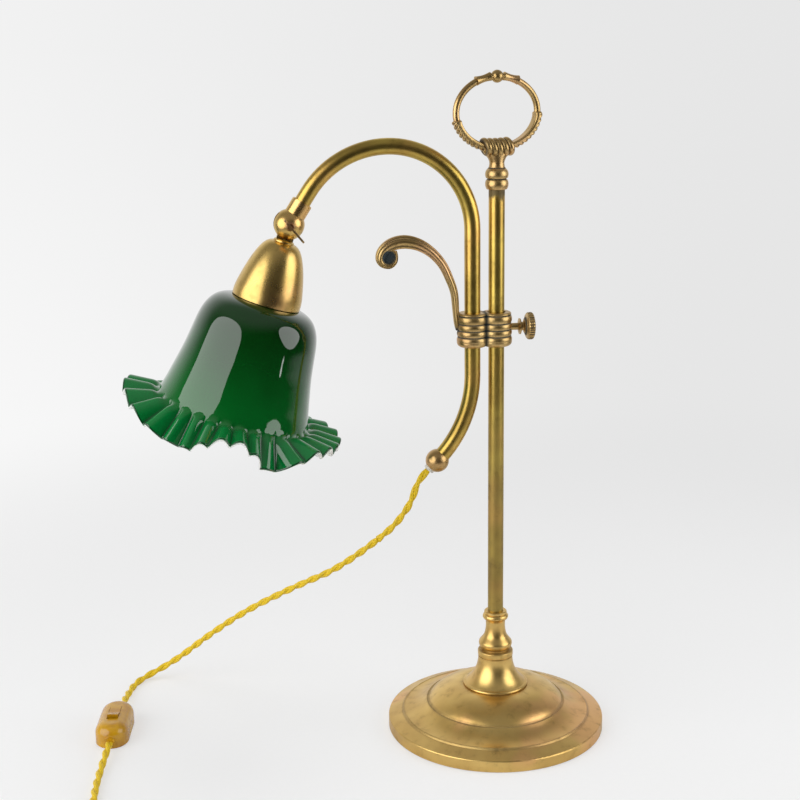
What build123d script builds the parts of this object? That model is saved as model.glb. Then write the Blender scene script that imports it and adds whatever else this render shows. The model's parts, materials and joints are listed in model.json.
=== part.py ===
from build123d import *
import math
import os

# Rise-and-fall table lamp: a brass pole on a round weighted foot, a crook arm
# that slides and swings on the pole, and a tilting green glass shade.
# Millimetres. The pole's axis is Z, the foot stands on z = 0 and the arm
# reaches out along -X. Heights above the floor are named with LEVEL.

# Fits
GAP = 0.3
SEAT = 0.02
RUNNING = 0.05

# Foot
BASE_D = 180.0
BASE_WALL = 1.2
RIM_LEVEL = 10.3
BASE_TOP_LEVEL = 36.4
FELT_MARGIN = 3.0
FELT_THICK = 2.0
RECESS_D = 44.0
RECESS_LEVEL = 12.0
NUT_FLATS = 13.0
NUT_THICK = 6.5
WASHER_D = 34.0
WASHER_THICK = 1.8
ROD_D = 8.0
ROD_HOLE_D = 8.6

# Collars and pole
BELL_TOP_LEVEL = 67.0
STEM_TOP_LEVEL = 101.4
TUBE_D = 12.7
TUBE_WALL = 1.0
POLE_FOOT_LEVEL = 78.0
POLE_PLUG_LENGTH = 20.0
FERRULE_LEVEL = 450.0
FERRULE_D = 18.2
FERRULE_BORE_DEPTH = 12.0

# Ring handle
HANDLE_YAW = 14.0
HANDLE_LEVEL = 508.5
HANDLE_HALF_WIDTH = 34.5
HANDLE_HALF_HEIGHT = 27.0
HOOP_D = 5.2
HOOP_GRIP = 11.0
CRADLE_START = 190.0
CRADLE_SWEEP = 170.0
CRADLE_WIDTH = 9.6
CRADLE_THICK = 6.4
BINDING_TURNS = 5
BINDING_PITCH = 5.2
BINDING_CORD_D = 4.6
HANDLE_BALL_D = 9.8

# Clamp of two ribbed bosses
ARM_OFFSET = 19.3
CLAMP_LEVEL = 326.5
CLAMP_HEIGHT = 27.0
BOSS_D = 24.8
LINER_WALL = 0.8
LINER_SLIT = 1.6
LINER_LENGTH = 21.0
SCREW_LEVEL = 341.0
SCREW_D = 5.6
KNOB_D = 21.6
KNOB_TEETH = 24

# Crook arm
LOWER_BEND_R = 98.9
LOWER_BEND_LEVEL = 303.5
LOWER_BEND_ANGLE = 45.0
CROOK_INNER_R = 65.7
CROOK_OUTER_R = 73.1
CROOK_TOP_LEVEL = 484.8
CROOK_SWEEP = 57.0
ARM_END_RUN = 28.6
ARM_BALL_D = 18.8
BUSH_D = 8.8
BUSH_PROUD = 1.2

# Scroll
SCROLL_THICK = 7.4
SCROLL_EYE_DEPTH = 2.4

# Knuckle
KNUCKLE_D = 24.0
SLEEVE_D = 16.4
SLEEVE_LENGTH = 20.0
SLEEVE_SOCKET = 9.6
TONGUE_D = 20.0
TONGUE_THICK = 5.0
NECK_D = 16.1
NECK_LEVEL = 14.2
NIPPLE_D = 10.0
PIVOT_D = 5.0
LEVER_LONG = 14.9
LEVER_SHORT = 7.3
LEVER_DEPTH = 8.0
LEVER_THICK = 1.5
LEVER_LEAN = 141.0

# Head: distances are measured down from the knuckle's centre
HEAD_TILT = 18.4
CUP_WALL = 1.0
CUP_RIM = 62.0
CUP_MOUTH_D = 53.6
HOLDER_D = 28.0
HOLDER_TOP = 22.0
HOLDER_END = 74.0
HOLDER_FLANGE_D = 38.0
SHADE_SEAT = 60.4
SHADE_WALL = 3.0
SHADE_RING_D = 41.0
BELL_END_R = 56.4
BELL_END = 133.0

# Frill of the shade, its angles from the head's axis
FRILL_WALL = 2.4
FRILL_BEND_R = 60.0
FRILL_BEND = 142.0
FRILL_LENGTH = 33.0
FLARE = 37.0
FLARE_SIDES = 26.0
FLARE_RIGHT = 8.0
FLARE_FRONT = 60.0
FRONT_SHARE = 0.26
PLEATS = 28
PLEAT_HEIGHT = 3.8

# Bulb
BULB_D = 55.0
BULB_END = 147.0
BULB_WALL = 0.8
CAP_D = 22.0
CAP_END = 78.0

# Cord: a twisted pair, six millimetres overall
CORD_D = 6.0
FLEX_D = 5.4
COIL_R = 33.0
COIL_ACROSS = 3
COIL_LAYERS = 2
COIL_LIFT = 1.0
COIL_CENTRE = (-300.0, -158.0)
TIE_WALL = 0.8
TIE_ROOM = 0.6
TIE_LENGTH = 9.0
SWITCH_LENGTH = 62.0
SWITCH_WIDTH = 27.0
SWITCH_HEIGHT = 19.0
SWITCH_SEAM = 8.5
SWITCH_CORD_LEVEL = 6.6
SWITCH_CENTRE = (-318.6, 33.0)
SWITCH_HEADING = 263.6
SWITCH_BODY = 58.0
SWITCH_WALL = 2.0
SWITCH_SCREW_D = 2.6
SWITCH_SCREW_SPACING = 40.0
SWITCH_POST_D = 6.0
SWITCH_HEAD_D = 4.6
ROCKER_LENGTH = 20.0
ROCKER_WIDTH = 9.0
ROCKER_ROOM = 1.3
ROCKER_LEVEL = 13.5
ROCKER_PIN_D = 2.4
ROCKER_PIN_LENGTH = 14.0
ROCKER_TILT = 7.0
PLUG_D = 30.0
PLUG_LENGTH = 34.0
PLUG_PIN_D = 4.0
PLUG_PIN_LENGTH = 19.0
PLUG_PIN_SPACING = 19.0
PLUG_PLACE = (-241.0, -213.0)
PLUG_HEADING = -24.0

POLE_R = TUBE_D / 2
BASE_R = BASE_D / 2
FELT_D = BASE_D - 2 * FELT_MARGIN
BOSS_R = BOSS_D / 2
LINER_R = POLE_R + RUNNING + LINER_WALL
SEAM_X = -ARM_OFFSET / 2
CROOK_X = -ARM_OFFSET - CROOK_INNER_R
SLEEVE_TILT = 90 - CROOK_SWEEP
SHELL_UNDER = BASE_WALL + GAP


def on_circle(radius, angle):
    """The point at an angle, in degrees, on a circle about the origin."""
    return radius * math.cos(math.radians(angle)), radius * math.sin(math.radians(angle))


def moved(point, step, length=1.0):
    """A point moved along a step of the given length."""
    return tuple(p + s * length for p, s in zip(point, step))


def bow(middle, end):
    """A step of an outline: an arc through middle to end."""
    return ("bow", [middle, end])


def flow(*points):
    """A step of an outline: a smooth curve through the points."""
    return ("flow", list(points))


def outline(start, *steps):
    """A closed outline of lines, arcs and smooth curves, as a flat face."""
    here = start
    edges = []
    for step in steps:
        if step[0] == "bow":
            edges.append(ThreePointArc(here, *step[1]))
            here = step[1][-1]
        elif step[0] == "flow":
            edges.append(Spline(here, *step[1]))
            here = step[1][-1]
        else:
            edges.append(Line(here, step))
            here = step
    edges.append(Line(here, start))
    return make_face(Curve() + edges)


def turned(start, *steps):
    """A solid of revolution about Z, from an outline of (radius, level) points."""
    return revolve(Plane.XZ * outline(start, *steps), Axis.Z)


def dropped(step):
    """An outline step with its levels turned to distances down from the origin."""
    if step[0] in ("bow", "flow"):
        return (step[0], [(r, -h) for r, h in step[1]])
    return (step[0], -step[1])


def turned_down(start, *steps):
    """A solid of revolution from (radius, distance down) points."""
    return turned(dropped(start), *[dropped(step) for step in steps])


def rod(diameter, low, high):
    """An upright cylinder between two levels."""
    return Pos(0, 0, low) * Cylinder(
        diameter / 2, high - low, align=(Align.CENTER, Align.CENTER, Align.MIN)
    )


def tube(outside, inside, low, high):
    """An upright tube between two levels, from its two diameters."""
    return rod(outside, low, high) - rod(inside, low - 1, high + 1)


def nut(flats, hole, low, high):
    """An upright hexagon nut."""
    blank = extrude(RegularPolygon(flats / 2, 6, major_radius=False), high - low)
    return Pos(0, 0, low) * blank - rod(hole, low - 1, high + 1)


# Foot


def foot_solid(inset):
    """The stepped foot as a full solid, its skin moved in by an inset."""
    edge = BASE_R - inset

    def at(r, z):
        return (r - inset * 0.4, z - inset)

    return turned(
        (0, 0.6),
        (edge, 0.6),
        (edge, RIM_LEVEL - 1.4 - inset),
        bow((edge - 0.4, RIM_LEVEL - 0.4 - inset), (edge - 1.4, RIM_LEVEL - inset)),
        at(BASE_R - 11.6, RIM_LEVEL + 3.2),
        at(BASE_R - 12.2, RIM_LEVEL + 4.2),
        bow(at(BASE_R - 12.9, RIM_LEVEL + 4.8), at(BASE_R - 13.8, RIM_LEVEL + 4.6)),
        flow(
            at(BASE_R - 20, RIM_LEVEL + 5.6),
            at(BASE_R - 27, RIM_LEVEL + 8.4),
            at(BASE_R - 32.2, RIM_LEVEL + 12.3),
        ),
        bow(at(BASE_R - 33.4, RIM_LEVEL + 12.0), at(BASE_R - 34.4, RIM_LEVEL + 13.2)),
        flow(
            at(BASE_R - 39.5, BASE_TOP_LEVEL - 7.9),
            at(BASE_R - 47, BASE_TOP_LEVEL - 3.8),
            at(BASE_R - 55, BASE_TOP_LEVEL - 1.0),
            at(BASE_R - 62, BASE_TOP_LEVEL),
        ),
        (0, BASE_TOP_LEVEL - inset),
    )


def base_shell():
    """Spun brass skin of the foot."""
    hollow = foot_solid(BASE_WALL)
    opening = rod(BASE_D - 2 * BASE_WALL, 0, 2)
    return foot_solid(0) - hollow - opening - rod(ROD_HOLE_D, 0, BASE_TOP_LEVEL + 1)


def base_weight():
    """Cast iron filling with a recess for the nut."""
    filling = foot_solid(SHELL_UNDER) - rod(BASE_D, 0, FELT_THICK + GAP)
    recess = rod(RECESS_D, 0, RECESS_LEVEL)
    return filling - recess - rod(ROD_HOLE_D, 0, BASE_TOP_LEVEL)


def base_felt():
    """Felt disc that the lamp stands on."""
    return rod(FELT_D, 0, FELT_THICK)


def base_washer():
    """Steel washer in the recess."""
    return tube(WASHER_D, ROD_HOLE_D, RECESS_LEVEL - WASHER_THICK, RECESS_LEVEL)


NUT_TOP = RECESS_LEVEL - WASHER_THICK


def base_nut():
    """Hexagon nut that draws the pole down on the foot."""
    return nut(NUT_FLATS, ROD_D + 2 * SEAT, NUT_TOP - NUT_THICK, NUT_TOP)


def tie_rod():
    """Rod from the nut up into the pole's plug."""
    return rod(ROD_D, NUT_TOP - NUT_THICK - 0.8, POLE_FOOT_LEVEL + POLE_PLUG_LENGTH - 2)


# Collars and pole


def bell_collar():
    """Flared collar on the foot, with a bead at its edge and a ring at its top."""
    foot = BASE_TOP_LEVEL
    top = BELL_TOP_LEVEL
    skin = turned(
        (0, foot),
        (26.3, foot),
        bow((26.9, foot + 1.2), (26.0, foot + 2.4)),
        (24.8, foot + 2.7),
        flow(
            (22.4, foot + 4.8),
            (18.4, foot + 10.0),
            (15.9, foot + 15.2),
            (14.7, foot + 20.0),
            (14.3, top - 5.6),
        ),
        bow((13.7, top - 5.2), (14.3, top - 4.8)),
        (14.6, top - 4.2),
        (14.6, top - 1.2),
        bow((14.3, top - 0.3), (13.4, top)),
        (0, top),
    )
    hollow = turned(
        (0, foot - 1),
        (23.4, foot - 1),
        (23.4, foot + 1.4),
        flow((20.2, foot + 5.0), (15.8, foot + 11.0), (12.6, foot + 17.0), (11.6, top - 6.0)),
        (0, top - 6.0),
    )
    return skin - hollow - rod(ROD_HOLE_D, foot, top + 1)


def stem_collar():
    """Vase-shaped collar that the pole is soldered into."""
    low = BELL_TOP_LEVEL
    top = STEM_TOP_LEVEL
    skin = turned(
        (0, low),
        (11.2, low),
        (11.2, low + 1.4),
        bow((12.9, low + 2.8), (13.7, low + 5.0)),
        bow((13.8, low + 6.4), (13.2, low + 8.0)),
        flow(
            (11.8, low + 9.8),
            (10.0, low + 12.2),
            (8.6, low + 16.2),
            (8.0, low + 21.0),
            (8.1, top - 9.0),
        ),
        (8.5, top - 7.6),
        bow((10.6, top - 5.0), (9.0, top - 2.5)),
        (9.4, top - 2.0),
        (9.3, top - 0.6),
        (8.7, top),
        (0, top),
    )
    socket = rod(TUBE_D + 2 * SEAT, POLE_FOOT_LEVEL, top + 1)
    return skin - socket - rod(ROD_HOLE_D, low - 1, top)


def pole_tube():
    """Upright brass tube."""
    top = FERRULE_LEVEL + FERRULE_BORE_DEPTH - GAP
    return tube(TUBE_D, TUBE_D - 2 * TUBE_WALL, POLE_FOOT_LEVEL, top)


def pole_plug():
    """Threaded plug inside the pole's foot, held by the tie rod."""
    outside = TUBE_D - 2 * TUBE_WALL - 2 * SEAT
    top = POLE_FOOT_LEVEL + POLE_PLUG_LENGTH
    return tube(outside, ROD_D + 2 * SEAT, POLE_FOOT_LEVEL, top)


# Ring handle


FERRULE_TOP = FERRULE_LEVEL + 16.4
BINDING_LEVEL = HANDLE_LEVEL - HANDLE_HALF_HEIGHT


def handle_ferrule():
    """Two rounded rings on the pole's top, with a groove between them."""
    low = FERRULE_LEVEL
    r = FERRULE_D / 2
    skin = turned(
        (0, low),
        (r - 1.2, low),
        bow((r, low + 3.6), (r - 0.7, low + 7.2)),
        (r - 1.7, low + 7.6),
        (r - 1.7, low + 8.2),
        (r - 0.7, low + 8.6),
        bow((r, low + 11.6), (r - 0.8, low + 14.6)),
        (r - 2.4, FERRULE_TOP),
        (0, FERRULE_TOP),
    )
    return skin - rod(TUBE_D + 2 * SEAT, low - 1, low + FERRULE_BORE_DEPTH)


def along_handle(section, start, size):
    """A section carried along part of the handle's oval, from a start angle."""
    oval = EllipticalCenterArc(
        (0, HANDLE_LEVEL), HANDLE_HALF_WIDTH, HANDLE_HALF_HEIGHT, start_angle=start, arc_size=size
    )
    path = Plane.XZ * oval
    return sweep(Plane(path ^ 0) * section, path=path)


def hoop_bar(diameter):
    """Round bar along the upper half of the oval and into the cradle's ends."""
    start = CRADLE_START + CRADLE_SWEEP - HOOP_GRIP
    return along_handle(Circle(diameter / 2), start, 360 - CRADLE_SWEEP + 2 * HOOP_GRIP)


def binding_turn(place):
    """One turn of the rope binding, leaning across the ring's lowest point."""
    reach = CRADLE_THICK / 2 + 1.0
    ring = Torus(reach + 0.6, BINDING_CORD_D / 2)
    lift = 0.011 * place * place
    return Pos(place, 0, BINDING_LEVEL + lift) * Rot(0, 90 - place, 14) * ring


def handle_cradle():
    """Casting of the ring's lower half, its rope binding and its stem."""
    band = RectangleRounded(CRADLE_THICK, CRADLE_WIDTH, CRADLE_THICK / 3)
    trough = along_handle(band, CRADLE_START, CRADLE_SWEEP)
    stem = loft(
        [
            Plane.XY.offset(FERRULE_TOP) * Circle(6.6),
            Plane.XY.offset(FERRULE_TOP + 4.0) * Circle(5.9),
            Plane.XY.offset(FERRULE_TOP + 9.5) * Ellipse(10.0, 6.4),
            Plane.XY.offset(BINDING_LEVEL - 1.0) * Ellipse(14.0, 6.6),
        ]
    )
    casting = trough + stem
    for number in range(BINDING_TURNS):
        casting += binding_turn((number - (BINDING_TURNS - 1) / 2) * BINDING_PITCH)
    return Rot(0, 0, HANDLE_YAW) * (casting - hoop_bar(HOOP_D + 2 * SEAT))


def handle_hoop():
    """Upper half of the ring, let into the cradle's ends, with a collar each side."""
    bar = hoop_bar(HOOP_D)
    top = HANDLE_LEVEL + HANDLE_HALF_HEIGHT
    for side in (-1, 1):
        spool = turned(
            (0, -6.2),
            (3.6, -6.2),
            bow((2.75, 0), (3.3, 5.6)),
            (3.3, 6.4),
            (0, 6.4),
        )
        bar += Pos(side * 11.6, 0, top - 1.6) * Rot(0, -side * 75, 0) * spool
    return Rot(0, 0, HANDLE_YAW) * bar


def handle_ball():
    """Ball threaded on the ring's top."""
    ball = Pos(0, 0, HANDLE_LEVEL + HANDLE_HALF_HEIGHT) * Sphere(HANDLE_BALL_D / 2)
    return Rot(0, 0, HANDLE_YAW) * (ball - hoop_bar(HOOP_D + 2 * SEAT))


# Clamp


def boss_skin():
    """One ribbed boss about Z: four rounded rings under a small lip."""
    low = CLAMP_LEVEL
    r = BOSS_R
    return turned(
        (0, low),
        (r - 2.6, low),
        bow((r - 0.6, low + 1.4), (r, low + 4.0)),
        bow((r - 0.1, low + 6.6), (r - 0.8, low + 8.0)),
        bow((r, low + 10.6), (r - 0.8, low + 13.2)),
        bow((r, low + 15.8), (r - 0.8, low + 18.4)),
        bow((r, low + 21.6), (r - 0.8, low + 24.6)),
        (r - 1.3, low + 25.0),
        bow((r - 0.6, low + 25.6), (r - 0.9, low + 26.2)),
        bow((r - 1.4, low + CLAMP_HEIGHT - 0.2), (r - 2.4, low + CLAMP_HEIGHT)),
        (0, low + CLAMP_HEIGHT),
    )


def half_space(side):
    """A block on one side of the soldered seam between the bosses."""
    size = 4 * BOSS_D
    return Pos(SEAM_X + side * size / 2, 0, CLAMP_LEVEL) * Box(size, size, size)


def clamp_pole_boss():
    """Boss that slides and swings on the pole, with the screw's hole."""
    bore = rod(2 * (LINER_R + RUNNING), CLAMP_LEVEL - 1, CLAMP_LEVEL + CLAMP_HEIGHT + 1)
    hole = Pos(0, 0, SCREW_LEVEL) * Rot(0, 90, 0) * rod(SCREW_D + 2 * RUNNING, 0, BOSS_D)
    return (boss_skin() & half_space(1)) - bore - hole


def clamp_arm_boss():
    """Boss that the crook arm is soldered through."""
    place = Pos(-ARM_OFFSET, 0, 0)
    bore = rod(TUBE_D + 2 * SEAT, CLAMP_LEVEL - 1, CLAMP_LEVEL + CLAMP_HEIGHT + 1)
    return (place * (boss_skin() - bore)) & half_space(-1)


LINER_LEVEL = CLAMP_LEVEL + 1.5


def clamp_liner():
    """Thin split sleeve between boss and pole, which takes the screw's pressure."""
    inside = TUBE_D + 2 * RUNNING
    sleeve = tube(2 * LINER_R, inside, LINER_LEVEL, LINER_LEVEL + LINER_LENGTH)
    slit = Pos(0, LINER_R, LINER_LEVEL + LINER_LENGTH / 2) * Box(LINER_SLIT, LINER_R, 2 * LINER_LENGTH)
    return sleeve - slit


def thumbscrew():
    """Clamp screw: shaft, collar and a toothed knob, turned about X."""
    tip = LINER_R + RUNNING
    r = KNOB_D / 2
    shape = turned(
        (0, tip),
        (SCREW_D / 2, tip),
        (SCREW_D / 2, 17.4),
        bow((4.0, 18.0), (6.4, 18.5)),
        (6.4, 19.3),
        (4.2, 20.0),
        (3.4, 20.6),
        (3.4, 21.6),
        bow((5.4, 22.4), (r - 2.8, 24.2)),
        bow((r, 25.8), (r, 27.0)),
        bow((r, 28.6), (r - 1.8, 29.8)),
        flow((r - 4.5, 30.6), (0, 31.6)),
    )
    for number in range(KNOB_TEETH):
        notch = Pos(r + 0.35, 0, 26.8) * Cylinder(0.85, 9)
        shape -= Rot(0, 0, number * 360 / KNOB_TEETH) * notch
    return Pos(0, 0, SCREW_LEVEL) * Rot(0, 90, 0) * shape


# Crook arm


def arm_line(stop=SLEEVE_SOCKET):
    """Centre line of the arm: lower bend, straight, and the crook of two radii."""
    end_run = ARM_END_RUN - (SLEEVE_LENGTH - stop)
    bend = CenterArc(
        (-ARM_OFFSET - LOWER_BEND_R, LOWER_BEND_LEVEL), LOWER_BEND_R, -LOWER_BEND_ANGLE, LOWER_BEND_ANGLE
    )
    inner_centre = (CROOK_X, CROOK_TOP_LEVEL - CROOK_INNER_R)
    outer_centre = (CROOK_X, CROOK_TOP_LEVEL - CROOK_OUTER_R)
    inner = CenterArc(inner_centre, CROOK_INNER_R, 0, 90)
    outer = CenterArc(outer_centre, CROOK_OUTER_R, 90, CROOK_SWEEP)
    straight = Line(bend @ 1, inner @ 0)
    along = outer % 1
    end = Line(outer @ 1, (outer @ 1) + along * end_run)
    return Plane.XZ * (Curve() + [bend, straight, inner, outer, end])


def arm_ends():
    """The arm's ball centre and the knuckle's centre, as points in X and Z."""
    line = arm_line(SLEEVE_LENGTH)
    return line @ 0, line @ 1


ARM_BALL, KNUCKLE = arm_ends()


def along_arm(diameter, line):
    """A round bar along the arm's centre line."""
    path = Wire(line.edges())
    return sweep(Plane(path ^ 0) * Circle(diameter / 2), path=path)


def crook_arm():
    """Bent brass tube."""
    line = arm_line()
    socket = Pos(*ARM_BALL) * Sphere(ARM_BALL_D / 4)
    return along_arm(TUBE_D, line) - along_arm(TUBE_D - 2 * TUBE_WALL, line) - socket


def at_arm_ball(shape):
    """A shape drawn about Z set at the arm's ball, with Z up the tube."""
    return Pos(*ARM_BALL) * Rot(0, LOWER_BEND_ANGLE, 0) * shape


def arm_end_ball():
    """Ball on the arm's lower end, where the cord leaves."""
    r = ARM_BALL_D / 2
    ball = at_arm_ball(Sphere(r) - rod(BUSH_D + 2 * SEAT, -r - 1, -2))
    return ball - along_arm(TUBE_D + 2 * SEAT, arm_line()) - at_arm_ball(rod(FLEX_D + 1.2, -r, 2))


def cord_bush():
    """Insulating bush in the ball's mouth."""
    r = ARM_BALL_D / 2
    return at_arm_ball(
        turned(
            (CORD_D / 2 + SEAT, -r - BUSH_PROUD),
            (BUSH_D / 2 - 0.7, -r - BUSH_PROUD),
            (BUSH_D / 2, -r - BUSH_PROUD + 0.7),
            (BUSH_D / 2, -2.0),
            (CORD_D / 2 + SEAT, -2.0),
        )
    )


def arm_flex():
    """The cord's pair inside the tube, from the bush's mouth to the knuckle."""
    inside = along_arm(FLEX_D, arm_line())
    return inside + at_arm_ball(rod(FLEX_D, -ARM_BALL_D / 2 - BUSH_PROUD, 0))


def scroll():
    """Cast scroll soldered on the arm boss: a tapering stem that ends in a volute."""
    left = -ARM_OFFSET - BOSS_R
    outside = flow(
        (left + 1.5, 357.0),
        (left - 0.3, 372.0),
        (left - 4.6, 384.5),
        (left - 10.2, 396.2),
        (left - 18.5, 406.4),
        (left - 29.8, 413.8),
        (left - 42.2, 416.9),
        (left - 54.2, 414.6),
        (left - 62.0, 409.2),
        (left - 64.8, 401.2),
        (left - 62.2, 394.6),
        (left - 55.8, 391.9),
        (left - 49.8, 393.9),
        (left - 47.4, 399.0),
        (left - 48.2, 404.0),
    )
    inside = flow(
        (left - 39.2, 406.2),
        (left - 30.1, 403.6),
        (left - 21.6, 398.7),
        (left - 13.1, 389.8),
        (left - 7.6, 378.6),
        (left - 4.2, 367.9),
        (left - 3.4, 353.8),
        (left - 2.4, 344.6),
        (left - 0.6, 340.0),
    )
    face = outline((left + 0.9, 340.0), outside, (left - 46.0, 405.9), inside)
    body = extrude(Plane.XZ * face, SCROLL_THICK / 2, both=True)
    seat = Pos(-ARM_OFFSET, 0, 0) * rod(BOSS_D + 2 * SEAT, 330, CLAMP_LEVEL + CLAMP_HEIGHT + SEAT)
    volute = Plane.XZ * Pos(left - 54.6, 401.0)
    eye = extrude(volute * Ellipse(4.2, 5.2), 2 * SCROLL_THICK, both=True)
    core = extrude(volute * Ellipse(6, 7), SCROLL_THICK / 2 - SCROLL_EYE_DEPTH, both=True)
    return body - seat - (eye - core)


# Knuckle


def at_sleeve(shape):
    """A shape drawn about Z set at the knuckle, with Z up the arm's end."""
    return Pos(*KNUCKLE) * Rot(0, SLEEVE_TILT, 0) * shape


def across_knuckle(shape):
    """A shape drawn about Z set at the knuckle, with Z toward -Y."""
    return Pos(*KNUCKLE) * Rot(90, 0, 0) * shape


def knuckle_socket():
    """Sleeve and slotted ball on the arm's end."""
    ball = Sphere(KNUCKLE_D / 2)
    sleeve = rod(SLEEVE_D, 0, SLEEVE_LENGTH - 0.6) + rod(SLEEVE_D - 1.2, SLEEVE_LENGTH - 1, SLEEVE_LENGTH)
    body = ball + sleeve - rod(TUBE_D + 2 * SEAT, SLEEVE_LENGTH - SLEEVE_SOCKET, SLEEVE_LENGTH + 1)
    slot_width = TONGUE_THICK + 2 * RUNNING
    disc = Rot(90, 0, 0) * Cylinder(TONGUE_D / 2 + GAP, slot_width)
    mouth = Pos(0, 0, 4 - KNUCKLE_D) * Box(2 * KNUCKLE_D, slot_width, 2 * KNUCKLE_D)
    pivot = Rot(90, 0, 0) * Cylinder(PIVOT_D / 2 + RUNNING, 2 * KNUCKLE_D)
    return at_sleeve(body - disc - mouth - pivot)


def knuckle_screw():
    """Pinch screw through the knuckle, turned by a thin off-centre lever."""
    r = KNUCKLE_D / 2
    shank = rod(PIVOT_D, -r + 0.6, r + 1)
    hub = turned(
        (0, r + 0.3), (3.6, r + 0.3), (3.6, r + 2.4), bow((2.6, r + 3.4), (2.4, r + 5.6)), (0, r + 5.6)
    )
    middle = (LEVER_LONG - LEVER_SHORT) / 2
    plate = Pos(middle, 0, r + 5.2 + LEVER_DEPTH / 2) * Box(
        LEVER_LONG + LEVER_SHORT, LEVER_THICK, LEVER_DEPTH
    )
    plate = fillet(plate.edges().filter_by(Axis.Y), 3.0)
    return across_knuckle(Rot(0, 0, -LEVER_LEAN + 90) * (shank + hub + plate))


# Head


def on_head(shape):
    """A shape drawn with the knuckle at the origin and hanging down, set in its place."""
    return Pos(*KNUCKLE) * Rot(0, HEAD_TILT, 0) * shape


def knuckle_tongue():
    """Tongue in the slotted ball, with the neck and nipple that carry the cup."""
    disc = Rot(90, 0, 0) * Cylinder(TONGUE_D / 2, TONGUE_THICK)
    plate = Pos(0, 0, -6) * Box(13.0, TONGUE_THICK, 13.0)
    neck = turned_down(
        (0, 12.3),
        (6.8, 12.3),
        (7.4, 12.7),
        (NECK_D / 2, 13.2),
        (NECK_D / 2, NECK_LEVEL),
        (NIPPLE_D / 2, NECK_LEVEL),
        (NIPPLE_D / 2, HOLDER_TOP + 8),
        (0, HOLDER_TOP + 8),
    )
    pivot = Rot(90, 0, 0) * Cylinder(PIVOT_D / 2 + RUNNING, 2 * KNUCKLE_D)
    wire_way = rod(FLEX_D + 0.6, -HOLDER_TOP - 9, -11)
    return on_head(disc + plate + neck - pivot - wire_way)


def cup_skin(inset):
    """The cup's egg-shaped outline as a full solid, moved in by an inset."""
    rim = CUP_MOUTH_D / 2

    def at(r, h):
        return (r - inset, h)

    return turned_down(
        (0, NECK_LEVEL + inset),
        (9.0, NECK_LEVEL + inset),
        flow(
            at(12.4, 15.9 + 0.8 * inset),
            at(15.4, 19.3 + 0.5 * inset),
            at(18.0, 24.2),
            at(20.5, 30.5),
            at(23.1, 39.0),
            at(25.4, 48.5),
            at(rim - 0.1, 56.0),
            at(rim, CUP_RIM),
        ),
        (0, CUP_RIM),
    )


def lamp_cup():
    """Egg-shaped brass cup over the lampholder."""
    hollow = cup_skin(CUP_WALL) + rod(CUP_MOUTH_D - 2 * CUP_WALL, -CUP_RIM - 1, -CUP_RIM + 1)
    return on_head(cup_skin(0) - hollow - rod(NIPPLE_D + 2 * SEAT, -CUP_RIM, 0))


def cup_nut():
    """Nut on the nipple that holds the cup to the neck."""
    low = -(NECK_LEVEL + CUP_WALL + 3.0)
    return on_head(nut(14.0, NIPPLE_D + 2 * SEAT, low, -(NECK_LEVEL + CUP_WALL)))


def head_flex():
    """The cord's pair inside the nipple."""
    return on_head(rod(FLEX_D, -HOLDER_TOP - 8, -12.0))


def holder_cap():
    """Brass top of the lampholder, screwed on the nipple."""
    r = HOLDER_D / 2
    skin = turned_down(
        (0, HOLDER_TOP),
        (8.0, HOLDER_TOP),
        bow((r - 2.4, HOLDER_TOP + 2.4), (r, HOLDER_TOP + 8.0)),
        (r, HOLDER_TOP + 16.0),
        (0, HOLDER_TOP + 16.0),
    )
    hollow = turned_down(
        (0, HOLDER_TOP + 9.0),
        (r - 1.2, HOLDER_TOP + 9.0),
        (r - 1.2, HOLDER_TOP + 17.0),
        (0, HOLDER_TOP + 17.0),
    )
    return on_head(skin - hollow - rod(NIPPLE_D + 2 * SEAT, -HOLDER_TOP - 10, 0))


INSULATOR_TOP = HOLDER_TOP + 10.0
INSULATOR_END = HOLDER_TOP + 24.0


def plunger_places():
    """Where the two contact plungers stand, either side of the lampholder's axis."""
    return [Pos(side * 4.0, 0, 0) for side in (-1, 1)]


def holder_insulator():
    """Ceramic block that carries the two contacts."""
    r = HOLDER_D / 2 - 1.2 - GAP
    block = rod(2 * r, -INSULATOR_END, -INSULATOR_TOP)
    for place in plunger_places():
        block -= place * rod(3.0 + 2 * SEAT, -INSULATOR_END - 1, -INSULATOR_TOP - 4)
    return on_head(block)


def holder_plungers():
    """The two spring contacts."""
    pins = [place * rod(3.0, -INSULATOR_END - 2.6, -INSULATOR_TOP - 4) for place in plunger_places()]
    return on_head(pins[0] + pins[1])


def holder_body():
    """Skirt of the lampholder, with the flange that the shade seats on."""
    r = HOLDER_D / 2
    skin = turned_down(
        (0, HOLDER_TOP + 16.0),
        (r, HOLDER_TOP + 16.0),
        (r, SHADE_SEAT - 2.0),
        (HOLDER_FLANGE_D / 2, SHADE_SEAT - 2.0),
        (HOLDER_FLANGE_D / 2, SHADE_SEAT - GAP),
        (r, SHADE_SEAT - GAP),
        (r, HOLDER_END),
        (0, HOLDER_END),
    )
    return on_head(skin - rod(HOLDER_D - 2.4, -HOLDER_END - 1, 0))


def shade_ring():
    """Threaded ring that holds the shade up against the flange."""
    top = SHADE_SEAT + SHADE_WALL + GAP
    ring = tube(SHADE_RING_D, HOLDER_D + 2 * SEAT, -top - 4.5, -top)
    for number in range(12):
        notch = Pos(SHADE_RING_D / 2 + 1.0, 0, -top - 2.2) * Cylinder(1.9, 8)
        ring -= Rot(0, 0, number * 30) * notch
    return on_head(ring)


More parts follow.
